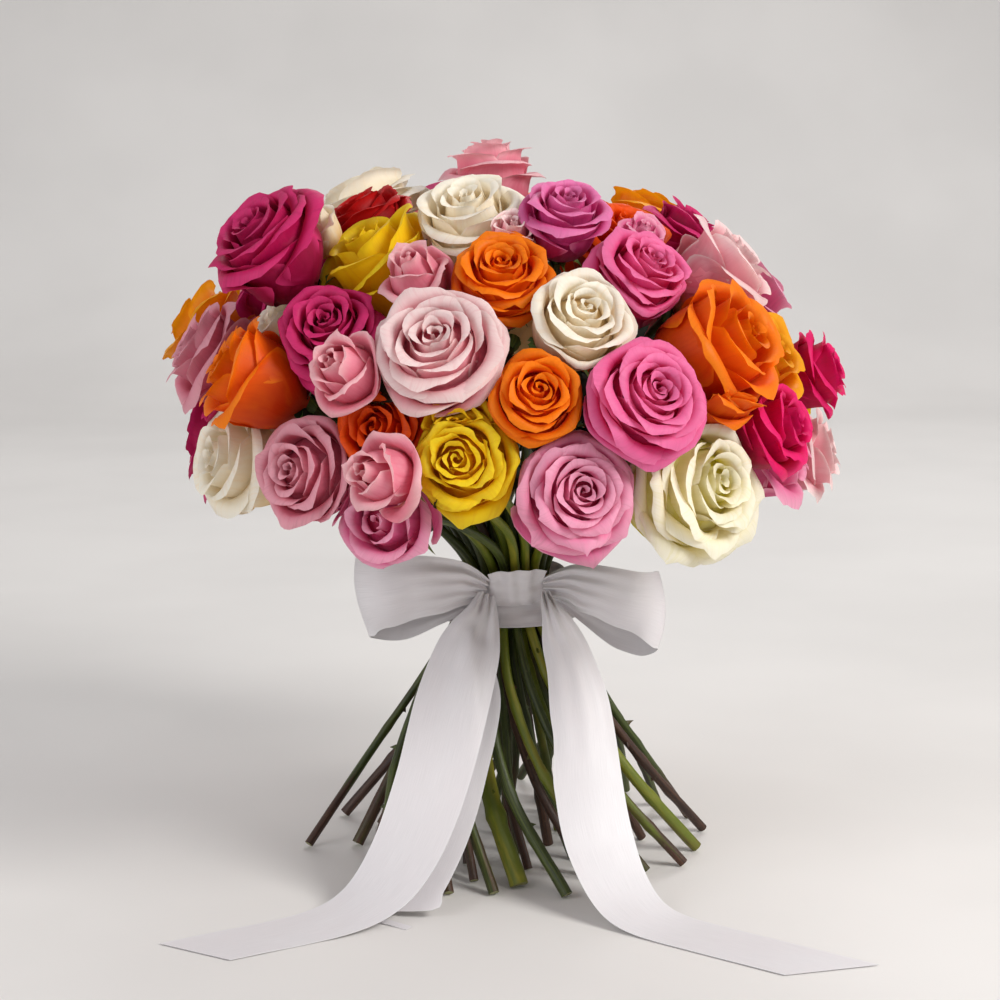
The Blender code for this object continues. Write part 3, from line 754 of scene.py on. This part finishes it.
# Each rose's own form where it isn't the usual: petals, how far it has opened, how cupped it
# is, how pointed and how ruffled its petals are.
USUAL = (24, 0.75, 0.35, 0.6, 1.0)
STYLES = {
    1: (14, 0.25, 0.55, 0.3, 1.3),
    2: (18, 0.50, 0.75, 0.3, 0.6),
    5: (18, 0.60, 0.60, 0.6, 0.9),
    6: (22, 0.80, 0.50, 0.6, 1.2),
    7: (20, 0.60, 0.80, 0.6, 1.2),
    11: (22, 0.60, 0.90, 0.6, 0.8),
    12: (14, 0.40, 0.80, 0.9, 1.0),
    13: (11, 0.05, 0.10, 0.9, 0.6),
    14: (26, 0.85, 0.10, 0.6, 1.1),
    15: (24, 0.75, 0.45, 0.4, 1.1),
    16: (13, 0.40, 0.90, 0.7, 0.8),
    17: (18, 0.55, 0.75, 0.4, 1.1),
    18: (24, 0.70, 0.40, 0.4, 0.6),
    19: (12, 0.40, 0.60, 0.9, 1.3),
    20: (14, 0.50, 0.80, 0.8, 1.2),
    21: (14, 0.40, 0.85, 0.8, 0.8),
    27: (15, 0.45, 0.85, 0.9, 0.8),
    28: (22, 0.60, 0.45, 0.5, 0.8),
    29: (30, 0.90, 0.35, 0.25, 0.7),
    30: (24, 0.90, 0.20, 0.5, 1.0),
    31: (12, 0.05, 0.10, 0.9, 0.6),
    32: (15, 0.50, 0.80, 0.7, 0.9),
    33: (15, 0.50, 0.80, 0.8, 1.1),
    34: (14, 0.50, 0.70, 1.0, 1.2),
    35: (16, 0.60, 0.60, 0.6, 0.9),
    36: (20, 0.75, 0.30, 0.5, 1.1),
    37: (15, 0.60, 0.60, 0.5, 1.4),
    38: (15, 0.10, 0.85, 0.3, 0.3),
    39: (20, 0.80, 0.30, 0.5, 0.9),
    40: (11, 0.05, 0.10, 0.9, 0.7),
    41: (12, 0.60, 0.50, 0.7, 0.9),
    42: (24, 0.80, 0.20, 0.5, 1.3),
    43: (30, 1.00, 0.10, 0.7, 0.7),
    44: (26, 1.00, 0.10, 0.7, 0.9),
    45: (15, 0.50, 0.75, 0.7, 0.8),
    46: (14, 0.40, 0.80, 0.6, 0.8),
}


def make_rose(bloom):
    """The petals of one rose, as three pieces: its heart, its middle and its guard petals."""
    node, kind = bloom.node, bloom.kind
    style = STYLES.get(bloom.index, USUAL)
    forms = bloom_forms(np.random.default_rng(1000 + bloom.index), *style)
    first = 0
    for part, share, rows in PARTS:
        last = round(len(forms) * share)
        mesh = Mesh()
        add_petals(mesh, bloom, forms[first:last], PETAL_COLUMNS, rows)
        first = last
        if part == "heart":
            add_core(mesh, bloom, style[1])
        piece = mesh.build(f"{node}_{part}", PETALS[kind])
        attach(piece, BODY)
        if part == "outer":
            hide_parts(node)


# Small side blooms that fill the gaps: petal colour, the roses they sit between, diameter and
# how far their middle stands out from between them, both in millimetres.
SIDE_BLOOMS = (
    ("cream", (3, 11), 36, 6),
    ("white_pink", (2, 14, 5), 38, 2),
    ("pink", (5, 6, 16), 32, 4),
    ("magenta", (7, 16, 21), 40, 4),
    ("orange", (27, 29, 37), 42, 9),
    ("yellow", (42, 28, 36), 46, 2),
    ("magenta", (32, 38), 34, 2),
    ("pink", (39, 41), 34, 0),
    ("cream", (43, 44), 34, -8),
)
SIDE_STYLE = (11, 0.45, 0.60, 0.8, 1.2)
SIDE_GRID = (12, 10)  # columns and rows of each petal
TWIG_SIDES = 8
TWIG_RADIUS = 0.0013
TWIG_BOW = 0.004


class SideBloom(Bloom):
    """A small bloom on a twig of its own, between some of the roses."""

    def __init__(self, index, parents, size, proud):
        self.index = index
        self.parent = parents[0]
        self.half = 0.5 * size * MM
        self.axis = sum(parent.axis for parent in parents)
        self.axis /= np.linalg.norm(self.axis)
        self.axes = axes_of(self.axis)
        self.middle = np.mean([parent.middle for parent in parents], axis=0)
        self.middle += proud * MM * self.axis
        self.base = self.middle - MIDDLE * self.half * self.axis
        self.neighbours = parents

    def twig(self, sides):
        """Rings of the twig from the parent's stem to the bloom, as many as it has sides."""
        root = self.parent.rings[STEM_RINGS - 2]
        share = np.linspace(0, 1, sides)[:, None]
        bow = TWIG_BOW * np.sin(math.pi * share) * self.axis
        radii = np.full((sides, sides), TWIG_RADIUS)
        return tube_grid(root + (self.base - root) * share + bow, radii, sides)


def make_side_bloom(index, kind, parents, size, proud):
    """One small bloom between the roses, and the twig that carries it."""
    bloom = SideBloom(index, parents, size, proud)
    forms = bloom_forms(np.random.default_rng(8000 + index), *SIDE_STYLE)
    mesh = Mesh()
    add_petals(mesh, bloom, forms, *SIDE_GRID)
    piece = mesh.build(f"side_bloom_{index}", PETALS[kind])
    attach(piece, BODY)
    twig = Mesh()
    points = bloom.twig(TWIG_SIDES)
    twig.add_grid(points, fields(points, 1, 0.1, index), fields(points, 0, 0, 0.5), closed=True)
    piece = twig.build(f"side_twig_{index}", STEM)
    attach(piece, BODY)


# ---------------------------------------------------------------- stems and leaves

STEM_GROUPS = 4
STEM_SIDES = 12
STEM_STEPS = 9  # rows of points from one CAD ring to the next
STEM_JOINTS = 9  # the most nodes on one stem
STEM_WIDEST = 0.0031  # its radius
FOOT_SPREAD = 0.12  # how far from the axis the outermost stems stand
STOUT_FOOT = (0.0, -0.09, 0.0)  # the stoutest, freshest stem stands nearest to here
RUSSET_FOOT = (0.045, -0.085, 0.0)  # and the brownest of the front nearest to here
TIE_CLEAR = 0.118  # thorns end at this height, below the ribbon
THORN_SIDES = 6


def tube_grid(centres, radii, sides, phase=0.0):
    """Rings of points round a line of centres, without twist, each point at its own radius."""
    along = np.gradient(centres, axis=0)
    along /= np.linalg.norm(along, axis=1, keepdims=True)
    side = np.cross(along[0], (0.0, 1.0, 0.0))
    carried = []
    for direction in along:
        side = side - direction * (side @ direction)
        side = side / np.linalg.norm(side)
        carried.append(side)
    first = np.array(carried)
    second = np.cross(along, first)
    angle = (np.arange(sides) * 2 * math.pi / sides + phase)[None, :, None]
    ring = first[:, None, :] * np.cos(angle) + second[:, None, :] * np.sin(angle)
    return centres[:, None, :] + ring * radii[..., None]


def stem_tube(mesh, bloom, rng):
    """One stem: ridged, swollen at its nodes, with thorn stubs and a slanting cut foot."""
    rows = np.concatenate((bloom.rings[:STEM_RINGS], bloom.radii[:STEM_RINGS, None]), axis=1)
    rows = smooth_rows(rows, STEM_STEPS)
    centres, radii = rows[:, :3], np.minimum(rows[:, 3], STEM_WIDEST)
    length = travelled(centres)
    side = centres[0][0] / FOOT_SPREAD
    brown = np.clip(rng.normal(0.20, 0.24) + 0.8 * smoothstep((side - 0.88) / 0.06), 0, 1)
    tone = np.clip(rng.uniform(0, 0.80) + 0.35 * side, 0, 1)
    size = rng.uniform(0.80, 1.14)
    if bloom.stout:
        brown, tone, size = 0.0, 1.0, 1.70
    if bloom.russet:
        brown = 1.4
    swell = np.ones_like(length)
    joints = np.cumsum(rng.uniform(0.024, 0.050, STEM_JOINTS))
    for joint in joints:
        swell += 0.24 * np.exp(-(((length - joint) / 0.0022) ** 2))
    upper = smoothstep((centres[:, 2] - 0.09) / 0.04)
    grown = radii * (swell * size * (1 - upper) + upper)
    sides = np.arange(STEM_SIDES) * 2 * math.pi / STEM_SIDES
    ribs = 1 + 0.05 * np.sin(3 * sides + rng.uniform(0, 6))[None, :]
    ribs = ribs + rng.normal(0, 0.015, (len(centres), STEM_SIDES))
    points = tube_grid(centres, grown[:, None] * ribs, STEM_SIDES, rng.uniform(0, 6))
    points[0, :, 2] = np.maximum(points[0, :, 2], 0.0003)
    petal = fields(points, np.cos(sides)[None, :], length[:, None], rng.uniform(0, 50))
    aged = 0.35 * smoothstep(1 - length / 0.10) - 0.5 * smoothstep((length - 0.14) / 0.06)
    zone = fields(points, 0, np.clip(brown + aged, 0, 1)[:, None], tone)
    mesh.add_grid(points, petal, zone, closed=True)
    cut = centres[0] + (points[0] - centres[0])[None] * np.array((1.0, 0.72, 0.0))[:, None, None]
    pith = fields(cut, np.array((0.2, 0.8, 1.0))[:, None], zone[:3, :, 1], zone[:3, :, 2])
    mesh.add_grid(cut[::-1], petal[:3], pith[::-1], closed=True)
    for joint in joints:
        if joint < length[-1] - 0.06 and rng.random() < 0.75:
            at = np.searchsorted(length, joint + rng.uniform(0.003, 0.015))
            if at < len(centres) - 2 and centres[at][2] < TIE_CLEAR:
                along = centres[at + 1] - centres[at]
                add_thorn(mesh, centres[at], along, grown[at], rng, zone[at, 0])


def add_thorn(mesh, place, along, radius, rng, look):
    """A thorn or a trimmed stub: a small cone with a broad foot, bent towards the ground."""
    along = along / np.linalg.norm(along)
    out = np.cross(along, rng.normal(0, 1, 3))
    out /= np.linalg.norm(out)
    side = np.cross(along, out)
    tall = rng.uniform(0.0016, 0.0042)
    shares = np.array((0.0, 0.35, 0.7, 1.0))
    angle = np.arange(THORN_SIDES) * 2 * math.pi / THORN_SIDES
    ring = np.cos(angle)[:, None] * along * 1.5 + np.sin(angle)[:, None] * side * 0.7
    wide = 0.0013 * (1 - shares) ** 1.3 + 0.00012
    up = shares[:, None]
    centre = place + out * (0.8 * radius + tall * up) - along * 0.0009 * up**2
    points = centre[:, None, :] + ring[None] * wide[:, None, None]
    petal = fields(points, 0.3, up * 0.01, tall * 9000)
    zone = fields(points, 0, np.clip(look[1] + 0.25, 0, 1), look[2])
    mesh.add_grid(points, petal, zone, closed=True)


def make_stems(blooms):
    """All the stems, in a few pieces that each take every few roses."""
    min(blooms, key=lambda bloom: np.linalg.norm(bloom.rings[0] - STOUT_FOOT)).stout = True
    min(blooms, key=lambda bloom: np.linalg.norm(bloom.rings[0] - RUSSET_FOOT)).russet = True
    for group in range(STEM_GROUPS):
        mesh = Mesh()
        chosen = blooms[group::STEM_GROUPS]
        for bloom in chosen:
            stem_tube(mesh, bloom, np.random.default_rng(3000 + bloom.index))
        piece = mesh.build(f"stems_{group + 1}", STEM)
        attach(piece, BODY)
        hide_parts(*[bloom.node for bloom in chosen])


SEPAL_GRID = (5, 9)  # points across and along
LEAF_GRID = (9, 17)
HIP_SIDES = 12

# A hip from its stem up to the petals: radius and height, in half widths of the bloom.
HIP = ((0.075, -0.14), (0.095, -0.10), (0.135, -0.05), (0.155, 0.0), (0.165, 0.05), (0.19, 0.10))


def blade(size):
    """Places across a small leaf from -1 to 1, and along it from 0 to 1."""
    return np.meshgrid(np.linspace(-1, 1, size[0]), np.linspace(0, 1, size[1]))


def add_sepal(mesh, bloom, heading, reach, droop, rng):
    """A sepal: a narrow leaf from the top of the hip, arching out and down."""
    u, v = blade(SEPAL_GRID)
    angle = math.radians(60) + droop * v
    step = reach / (len(v) - 1)
    radial = 0.13 + np.cumsum(np.sin(angle) * step, axis=0) - np.sin(angle[:1]) * step
    height = 0.02 + np.cumsum(np.cos(angle) * step, axis=0) - np.cos(angle[:1]) * step
    wide = 0.115 * (1 - v) ** 0.75 * (0.6 + 0.7 * np.sin(math.pi * np.minimum(v * 1.6, 1.0)))
    across = u * wide
    side = np.array((-math.sin(heading), math.cos(heading), 0.0))
    out = np.array((math.cos(heading), math.sin(heading), 0.0))
    up = np.array((0.0, 0.0, 1.0))
    height = height + 0.25 * np.abs(across)
    points = radial[..., None] * out + across[..., None] * side + height[..., None] * up
    petal = fields(points, across, v, rng.uniform(0, 50))
    mesh.add_grid(bloom.stand(points), petal, fields(points, 0, 1, 1))


def add_calyx(mesh, bloom, rng):
    """The hip under a bloom: a small green urn that the stem runs into and the petals leave."""
    rows = smooth_rows(np.array(HIP), 2)
    radius, height = rows[:, :1], rows[:, 1:]
    angle = np.arange(HIP_SIDES) * 2 * math.pi / HIP_SIDES
    across = radius * np.cos(angle)
    points = fields(across, across, radius * np.sin(angle), height)
    petal = fields(points, np.cos(angle)[None] * 0.3, height, rng.uniform(0, 50))
    mesh.add_grid(bloom.stand(points), petal, fields(points, 0, 1, 1), closed=True)


def add_leaf(mesh, place, direction, facing, long, wide, rng):
    """A leaflet with a saw-toothed edge, folded along its midrib and arched towards its tip."""
    u, v = blade(LEAF_GRID)
    direction = direction / np.linalg.norm(direction)
    side = np.cross(direction, facing)
    side /= np.linalg.norm(side)
    up = np.cross(side, direction)
    outline = np.sin(math.pi * v**0.85) ** 0.75 * (1 - 0.25 * v)
    teeth = 1 + 0.10 * (np.arange(len(v)) % 2)[:, None] * (np.abs(u) > 0.9)
    across = u * wide * outline * teeth
    arch = rng.uniform(0.15, 0.5)
    lift = 0.30 * np.abs(across) - arch * long * v**2 + 0.03 * long * np.sin(7 * v + 3 * u)
    ahead = long * v * (1 - 0.12 * arch * v)
    points = place + direction * ahead[..., None] + side * across[..., None] + up * lift[..., None]
    petal = fields(points, across * 40, v, rng.uniform(0, 50))
    mesh.add_grid(points, petal, fields(points, np.abs(u), np.abs(u), 0.5))


def make_foliage(blooms):
    """Hips and sepals under every bloom, and the leaves left on the stems inside the dome."""
    for group in range(2):
        mesh = Mesh()
        for bloom in blooms[group::2]:
            rng = np.random.default_rng(5000 + bloom.index)
            add_calyx(mesh, bloom, rng)
            turn = rng.uniform(0, 6.3)
            for sepal in range(5):
                heading = turn + sepal * 0.4 * math.pi + rng.normal(0, 0.12)
                reach = rng.uniform(0.45, 0.7)
                droop = math.radians(rng.uniform(40, 110))
                add_sepal(mesh, bloom, heading, reach, droop, rng)
        piece = mesh.build(f"calyces_{group + 1}", LEAF)
        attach(piece, BODY)
    # Leaves left on the stems inside the dome, painted near black-green: partly their own dark green,
    # partly painted shade in the gaps between the blooms.
    for group in range(2):
        mesh = Mesh()
        for bloom in blooms[group::2]:
            rng = np.random.default_rng(7000 + bloom.index)
            stem = bloom.rings[3:STEM_RINGS]
            for share in (0.62, 0.80, 0.95):
                at = share * (len(stem) - 1)
                low = int(at)
                place = stem[low] + (at - low) * (stem[min(low + 1, len(stem) - 1)] - stem[low])
                wild = rng.normal(0, 1, 3)
                along = bloom.axis * 0.9 + 0.9 * wild / np.linalg.norm(wild)
                long = rng.uniform(0.022, 0.036)
                add_leaf(mesh, place, along, rng.normal(0, 1, 3) + bloom.axis, long, long * 0.32, rng)
        piece = mesh.build(f"leaves_{group + 1}", LEAF)
        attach(piece, BODY)


# ---------------------------------------------------------------- ribbon

SATIN_THICK = 0.0003
WRAP_GAP = 0.0010  # how far the wound ribbon climbs over its own start
RIBBON_WIDTH = 0.040
RIBBON_COLUMNS = 28
RIBBON_STEPS = 4
ROLL_WIDTH = 0.30  # of a soft roll along the ribbon, in half widths

# How each length of ribbon is shaped between its edges, from the knot outwards: share of its
# length, how far the middle bows and how deep the gathers are in millimetres, where across the
# ribbon a soft roll lies and how high it stands, how far its second edge is raised, then how
# far its first edge is drawn in.
TAIL_LEFT = (
    (0.00, 0.0, 1.3, -0.8, 0.5, 0.0, 0.0),
    (0.06, 0.5, 0.9, -0.4, 2.5, 0.0, 0.0),
    (0.12, 1.0, 0.4, 0.1, 4.0, 0.0, 0.0),
    (0.18, 1.0, 0.1, 0.4, 3.5, 0.0, 0.0),
    (0.27, 0.5, 0.0, 0.7, 1.5, 0.0, 0.0),
    (0.38, 0.0, 0.0, 1.0, 0.0, 0.0, 0.0),
)
TAIL_LEFT_REAR = (
    (0.00, 0.0, 1.2, 1.3, 0.0, 0.0, 0.0),
    (0.20, 0.0, 0.5, 1.3, 0.0, 0.0, 0.0),
    (0.45, -1.0, 0.0, 1.3, 0.0, 0.0, 0.0),
    (1.00, 0.0, 0.0, 1.3, 0.0, 0.0, 0.0),
)
TAIL_RIGHT = (
    (0.00, 0.0, 1.2, 0.2, 0.0, 0.0, 4.0),
    (0.08, 3.0, 0.9, 0.3, 1.0, 0.0, 7.0),
    (0.16, 5.0, 0.4, 0.4, 1.5, 0.0, 9.0),
    (0.26, 4.5, 0.2, 0.6, 0.5, 0.0, 7.0),
    (0.38, 2.0, 0.0, 0.6, 0.0, 0.0, 2.0),
    (0.50, 0.0, 0.0, 0.6, 0.0, 0.0, 0.0),
)
LOOP_LEFT = (
    (0.00, 0.0, 1.4, 0.2, 0.0, 0.0, 0.0),
    (0.15, 1.5, 1.0, -0.3, 1.5, 2.0, 0.0),
    (0.30, 4.0, 0.3, -0.3, 1.5, 5.0, 0.0),
    (0.42, 6.0, 0.0, 0.2, 0.5, 3.0, 0.0),
    (0.55, 5.0, 0.0, 0.2, 0.0, -2.0, 0.0),
    (0.70, 2.0, 0.2, 0.2, 0.0, -5.0, 0.0),
    (0.85, 0.0, 0.7, 0.2, 0.0, -2.0, 0.0),
    (1.00, 0.0, 1.3, 0.2, 0.0, 0.0, 0.0),
)
LOOP_RIGHT = (
    (0.00, 0.0, 1.4, 0.2, 0.0, 0.0, 0.0),
    (0.15, -0.8, 1.2, 0.2, 0.0, 2.0, 0.0),
    (0.30, -2.5, 0.4, 0.2, 0.0, 8.0, 0.0),
    (0.42, -4.5, 0.0, 0.2, 0.0, 10.0, 0.0),
    (0.53, -5.0, 0.0, 0.2, 0.0, 3.0, 0.0),
    (0.64, -3.5, 0.0, 0.2, 0.0, -4.0, 0.0),
    (0.80, -0.8, 0.4, 0.2, 0.0, -3.0, 0.0),
    (1.00, 0.0, 1.2, 0.2, 0.0, 0.0, 0.0),
)


def ribbon_edges(node, towards, leading):
    """Both edges of a CAD ribbon, station by station, the edge that leads that way first."""
    stations = []
    for ring in frame_rings(node, towards, 4):
        partner = 1 + int(np.argmin(np.linalg.norm(ring[1:] - ring[0], axis=1)))
        rest = [index for index in (1, 2, 3) if index != partner]
        pair = np.array((ring[[0, partner]].mean(axis=0), ring[rest].mean(axis=0)))
        if stations:
            last = stations[-1]
            pair = min((pair, pair[::-1]), key=lambda way: np.linalg.norm(way - last, axis=1).sum())
        elif (pair[1] - pair[0]) @ np.array(leading) > 0:
            pair = pair[::-1]
        stations.append(pair)
    return np.array(stations).reshape(-1, 6)


def eased(keys, share):
    """Rows of a profile at shares of a length, each key easing into the next."""
    keys = np.array(keys)
    at = np.interp(share, keys[:, 0], np.arange(len(keys)))
    low = np.minimum(at.astype(int), len(keys) - 2)
    part = smoothstep(at - low)[:, None]
    return (keys[low] * (1 - part) + keys[low + 1] * part)[:, 1:]


def ribbon_grid(edges, profile, folds, slant=0.0):
    """A ribbon between its two edges, bowed, gathered and rolled, its last end cut at a slant."""
    rows = smooth_rows(edges, RIBBON_STEPS)
    one, other = rows[:, None, :3], rows[:, None, 3:]
    across = np.linspace(-1, 1, RIBBON_COLUMNS + 1)[None, :]
    middle = 0.5 * (one + other)[:, 0]
    reached = travelled(middle)
    share = reached / reached[-1]
    bow, gather, place, height, raised, drawn = (column[:, None] for column in eased(profile, share).T)
    points = 0.5 * (one + other) + 0.5 * (other - one) * across[..., None]
    points[..., 2] += 0.5 * (1 + across) * raised * MM
    way = (other - one) / np.linalg.norm(other - one, axis=-1, keepdims=True)
    points = points + (0.5 * (1 - across) * drawn * MM)[..., None] * way
    shape = bow * (1 - across**2) + gather * np.sin(folds * math.pi * (across + 0.13))
    beside = (across - place) / ROLL_WIDTH
    before = np.exp(-((0.5 * beside) ** 2))
    past = 1.3 * np.exp(-(beside**2)) - 0.3
    shape = shape + height * np.where(beside < 0, before, past)
    along = np.gradient(middle, axis=0)
    along /= np.linalg.norm(along, axis=1, keepdims=True)
    cut = slant * smoothstep((share - 0.75) / 0.25)[:, None] * across
    points = points - grid_normals(points) * (shape * MM)[..., None] + along[:, None, :] * cut[..., None]
    points[..., 2] = np.maximum(points[..., 2], SATIN_THICK)
    return points


def add_ribbon(name, points):
    """A length of satin in the place of the CAD solid of that name."""
    mesh = Mesh()
    along = travelled(points.mean(axis=1))[:, None]
    across = np.linspace(-1, 1, points.shape[1])[None, :]
    petal = fields(points, across * 0.5 * RIBBON_WIDTH, along, len(name))
    mesh.add_sheet(points, petal, fields(points, np.abs(across), 0, 1), SATIN_THICK)
    piece = mesh.build(name + "_satin", SATIN, weld=True)
    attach(piece, BODY)
    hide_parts(name)


# The wound ribbon: its waist's height and radius, half its height, and how far it flares.
TIE_Z = 0.148
BAND_INSIDE = 0.0285
BAND_HALF = 0.0165
BAND_FLARE = 0.0118
BAND_COLUMNS = 18


def band_points(
    start, sweep, lowest, highest, lift, steps, rise=0.0, flare=BAND_FLARE, pinch=0.0, rounded=0.0
):
    """Part of the wound ribbon: an hourglass sheet round the stems, with soft creases."""
    columns = BAND_COLUMNS
    angle = np.linspace(start, start + sweep, steps + 1)[:, None]
    share = np.linspace(lowest, highest, columns + 1)[None, :]
    centre = 0.5 * (lowest + highest)
    share = centre + (share - centre) * (1 - rounded * np.linspace(-1, 1, steps + 1)[:, None] ** 4)
    front = np.clip(np.cos(angle), 0, 1)
    height = TIE_Z + BAND_HALF * share + rise * np.sin(angle)
    crease = 0.0004 * np.sin(9 * share + 1.5 * np.sin(2 * angle))
    crease = crease + 0.0003 * np.sin(17 * share + 2.5 * np.cos(3 * angle))
    crease = crease + pinch * np.sin(21 * angle + 1.2 * share) * (0.3 + np.abs(share))
    radius = BAND_INSIDE + flare * share**2 * (1 - 0.25 * front) + lift + crease
    return fields(radius, radius * np.sin(angle), -radius * np.cos(angle), height)


def make_bow():
    """The wound band, the knot, two loops and three tails, each a sheet of its own."""
    turn = 2 * math.pi
    steps = 90
    wound = WRAP_GAP * np.linspace(0, 1, steps + 1)[:, None]
    band = band_points(math.radians(-170), turn * 1.04, -1.0, 0.55, wound, steps)
    add_ribbon("ribbon_wrap", band)
    knot = band_points(
        math.radians(-17), math.radians(53), -0.34, 0.90, 0.0030, 60,
        rise=0.0010, flare=0.0075, pinch=0.0013, rounded=0.15,
    )
    add_ribbon("bow_knot", knot)
    for name, towards, profile in (
        ("bow_loop_left", (1.0, 0.0, 0.0), LOOP_LEFT),
        ("bow_loop_right", (-1.0, 0.0, 0.0), LOOP_RIGHT),
    ):
        points = ribbon_grid(ribbon_edges(name, towards, (0.0, 0.0, 1.0)), profile, 4.0)
        add_ribbon(name, points)
    for name, towards, profile, slant in (
        ("ribbon_tail_left", (-0.85, -0.53, 0.0), TAIL_LEFT, -0.010),
        ("ribbon_tail_left_rear", (-0.4, -0.9, 0.0), TAIL_LEFT_REAR, 0.0),
        ("ribbon_tail_right", (0.8, -0.6, 0.0), TAIL_RIGHT, 0.015),
    ):
        edges = ribbon_edges(name, towards, (-1.0, 0.0, 0.0))[::-1]
        points = ribbon_grid(edges, profile, 3.0, slant)
        add_ribbon(name, points)


# ---------------------------------------------------------------- studio

CAMERA_PLACE = (-0.004, -1.4, 0.455)
CAMERA_AIM = (-0.004, 0.0, 0.196)
LENS = 91.6
SENSOR = 36.0
FLOOR_END = 1.6  # how far behind the bouquet the floor starts to sweep up
SWEEP = 0.8  # radius of that sweep


def aim(thing, target):
    """Turn a camera or a light towards a place."""
    direction = [goal - start for goal, start in zip(target, thing.location)]
    thing.rotation_mode = "QUATERNION"
    thing.rotation_quaternion = Vector(direction).to_track_quat("-Z", "Y")


def make_camera():
    """A camera a little above the dome, looking slightly down."""
    data = bpy.data.cameras.new("camera")
    data.lens = LENS
    data.sensor_width = SENSOR
    data.clip_start, data.clip_end = 0.05, 30.0
    camera = bpy.data.objects.new("camera", data)
    SCENE.collection.objects.link(camera)
    camera.location = CAMERA_PLACE
    aim(camera, CAMERA_AIM)
    SCENE.camera = camera


def make_light(name, place, target, size, power, tint=(1.0, 1.0, 1.0)):
    """A round lamp, its size in metres and its power in watts."""
    data = bpy.data.lights.new(name, "AREA")
    data.shape = "DISK"
    data.size = size
    data.energy = power
    data.color = tint
    light = bpy.data.objects.new(name, data)
    SCENE.collection.objects.link(light)
    light.location = place
    aim(light, target)


def make_studio():
    """Three lamps, a pale sky, and a floor that sweeps up into a backdrop as one sheet."""
    make_light("key", (1.5, -1.0, 1.45), (0.0, 0.0, 0.2), 1.0, 36.0, (1.0, 0.985, 0.96))
    make_light("fill", (-1.6, -1.2, 0.9), (0.0, 0.0, 0.2), 1.6, 13.0, (0.96, 0.98, 1.0))
    make_light("back", (0.3, 1.6, 1.6), (0.0, 0.0, 0.25), 1.0, 10.0)
    world = bpy.data.worlds.new("studio")
    SCENE.world = world
    world.use_nodes = True
    sky = world.node_tree.nodes["Background"].inputs
    sky["Color"].default_value = (0.80, 0.80, 0.82, 1.0)
    sky["Strength"].default_value = 0.56

    nodes = Nodes("pale_floor")
    place = nodes.add("ShaderNodeTexCoord").outputs["Object"]
    cloud = nodes.noise(place, 3.0, 3.0)
    base = nodes.mix(nodes.fade(cloud, 0.3, 0.7), colour(222, 219, 216), colour(230, 227, 224))
    floor_material = nodes.finish(nodes.shader(base, 0.6))
    outline = [(-4.0, 0.0), (FLOOR_END, 0.0)]
    for turn in np.radians(np.arange(6, 91, 6)):
        outline.append((FLOOR_END + SWEEP * math.sin(turn), SWEEP - SWEEP * math.cos(turn)))
    outline.append((FLOOR_END + SWEEP, 4.0))
    points = np.array([[(x, y, z) for x in (-5.0, 5.0)] for y, z in outline])
    mesh = Mesh()
    mesh.add_grid(points, points, points)
    floor = mesh.build("floor", floor_material)
    SCENE.view_settings.view_transform = "Standard"


make_camera()
make_studio()
PETALS = {
    name: petal_material(name, palette, HEART_REACH.get(name, USUAL_REACH))
    for name, palette in PALETTES.items()
}
STEM, LEAF, SATIN, TWINE = stem_material(), leaf_material(), satin_material(), twine_material()

ROSES = sorted(name for name in frame["nodes"] if name.startswith("rose_"))
BLOOMS = [Bloom(node) for node in ROSES]
for bloom in BLOOMS:
    bloom.neighbours = [other for other in BLOOMS if bloom.near(other)]
for bloom in BLOOMS:
    make_rose(bloom)
for number, (kind, between, size, proud) in enumerate(SIDE_BLOOMS, 1):
    make_side_bloom(number, kind, [BLOOMS[index - 1] for index in between], size, proud)
make_stems(BLOOMS)
make_foliage(BLOOMS)
make_bow()
TWINE_NODE = frame["nodes"]["binding_twine"]
TWINE_NODE.data.materials.clear()
TWINE_NODE.data.materials.append(TWINE)
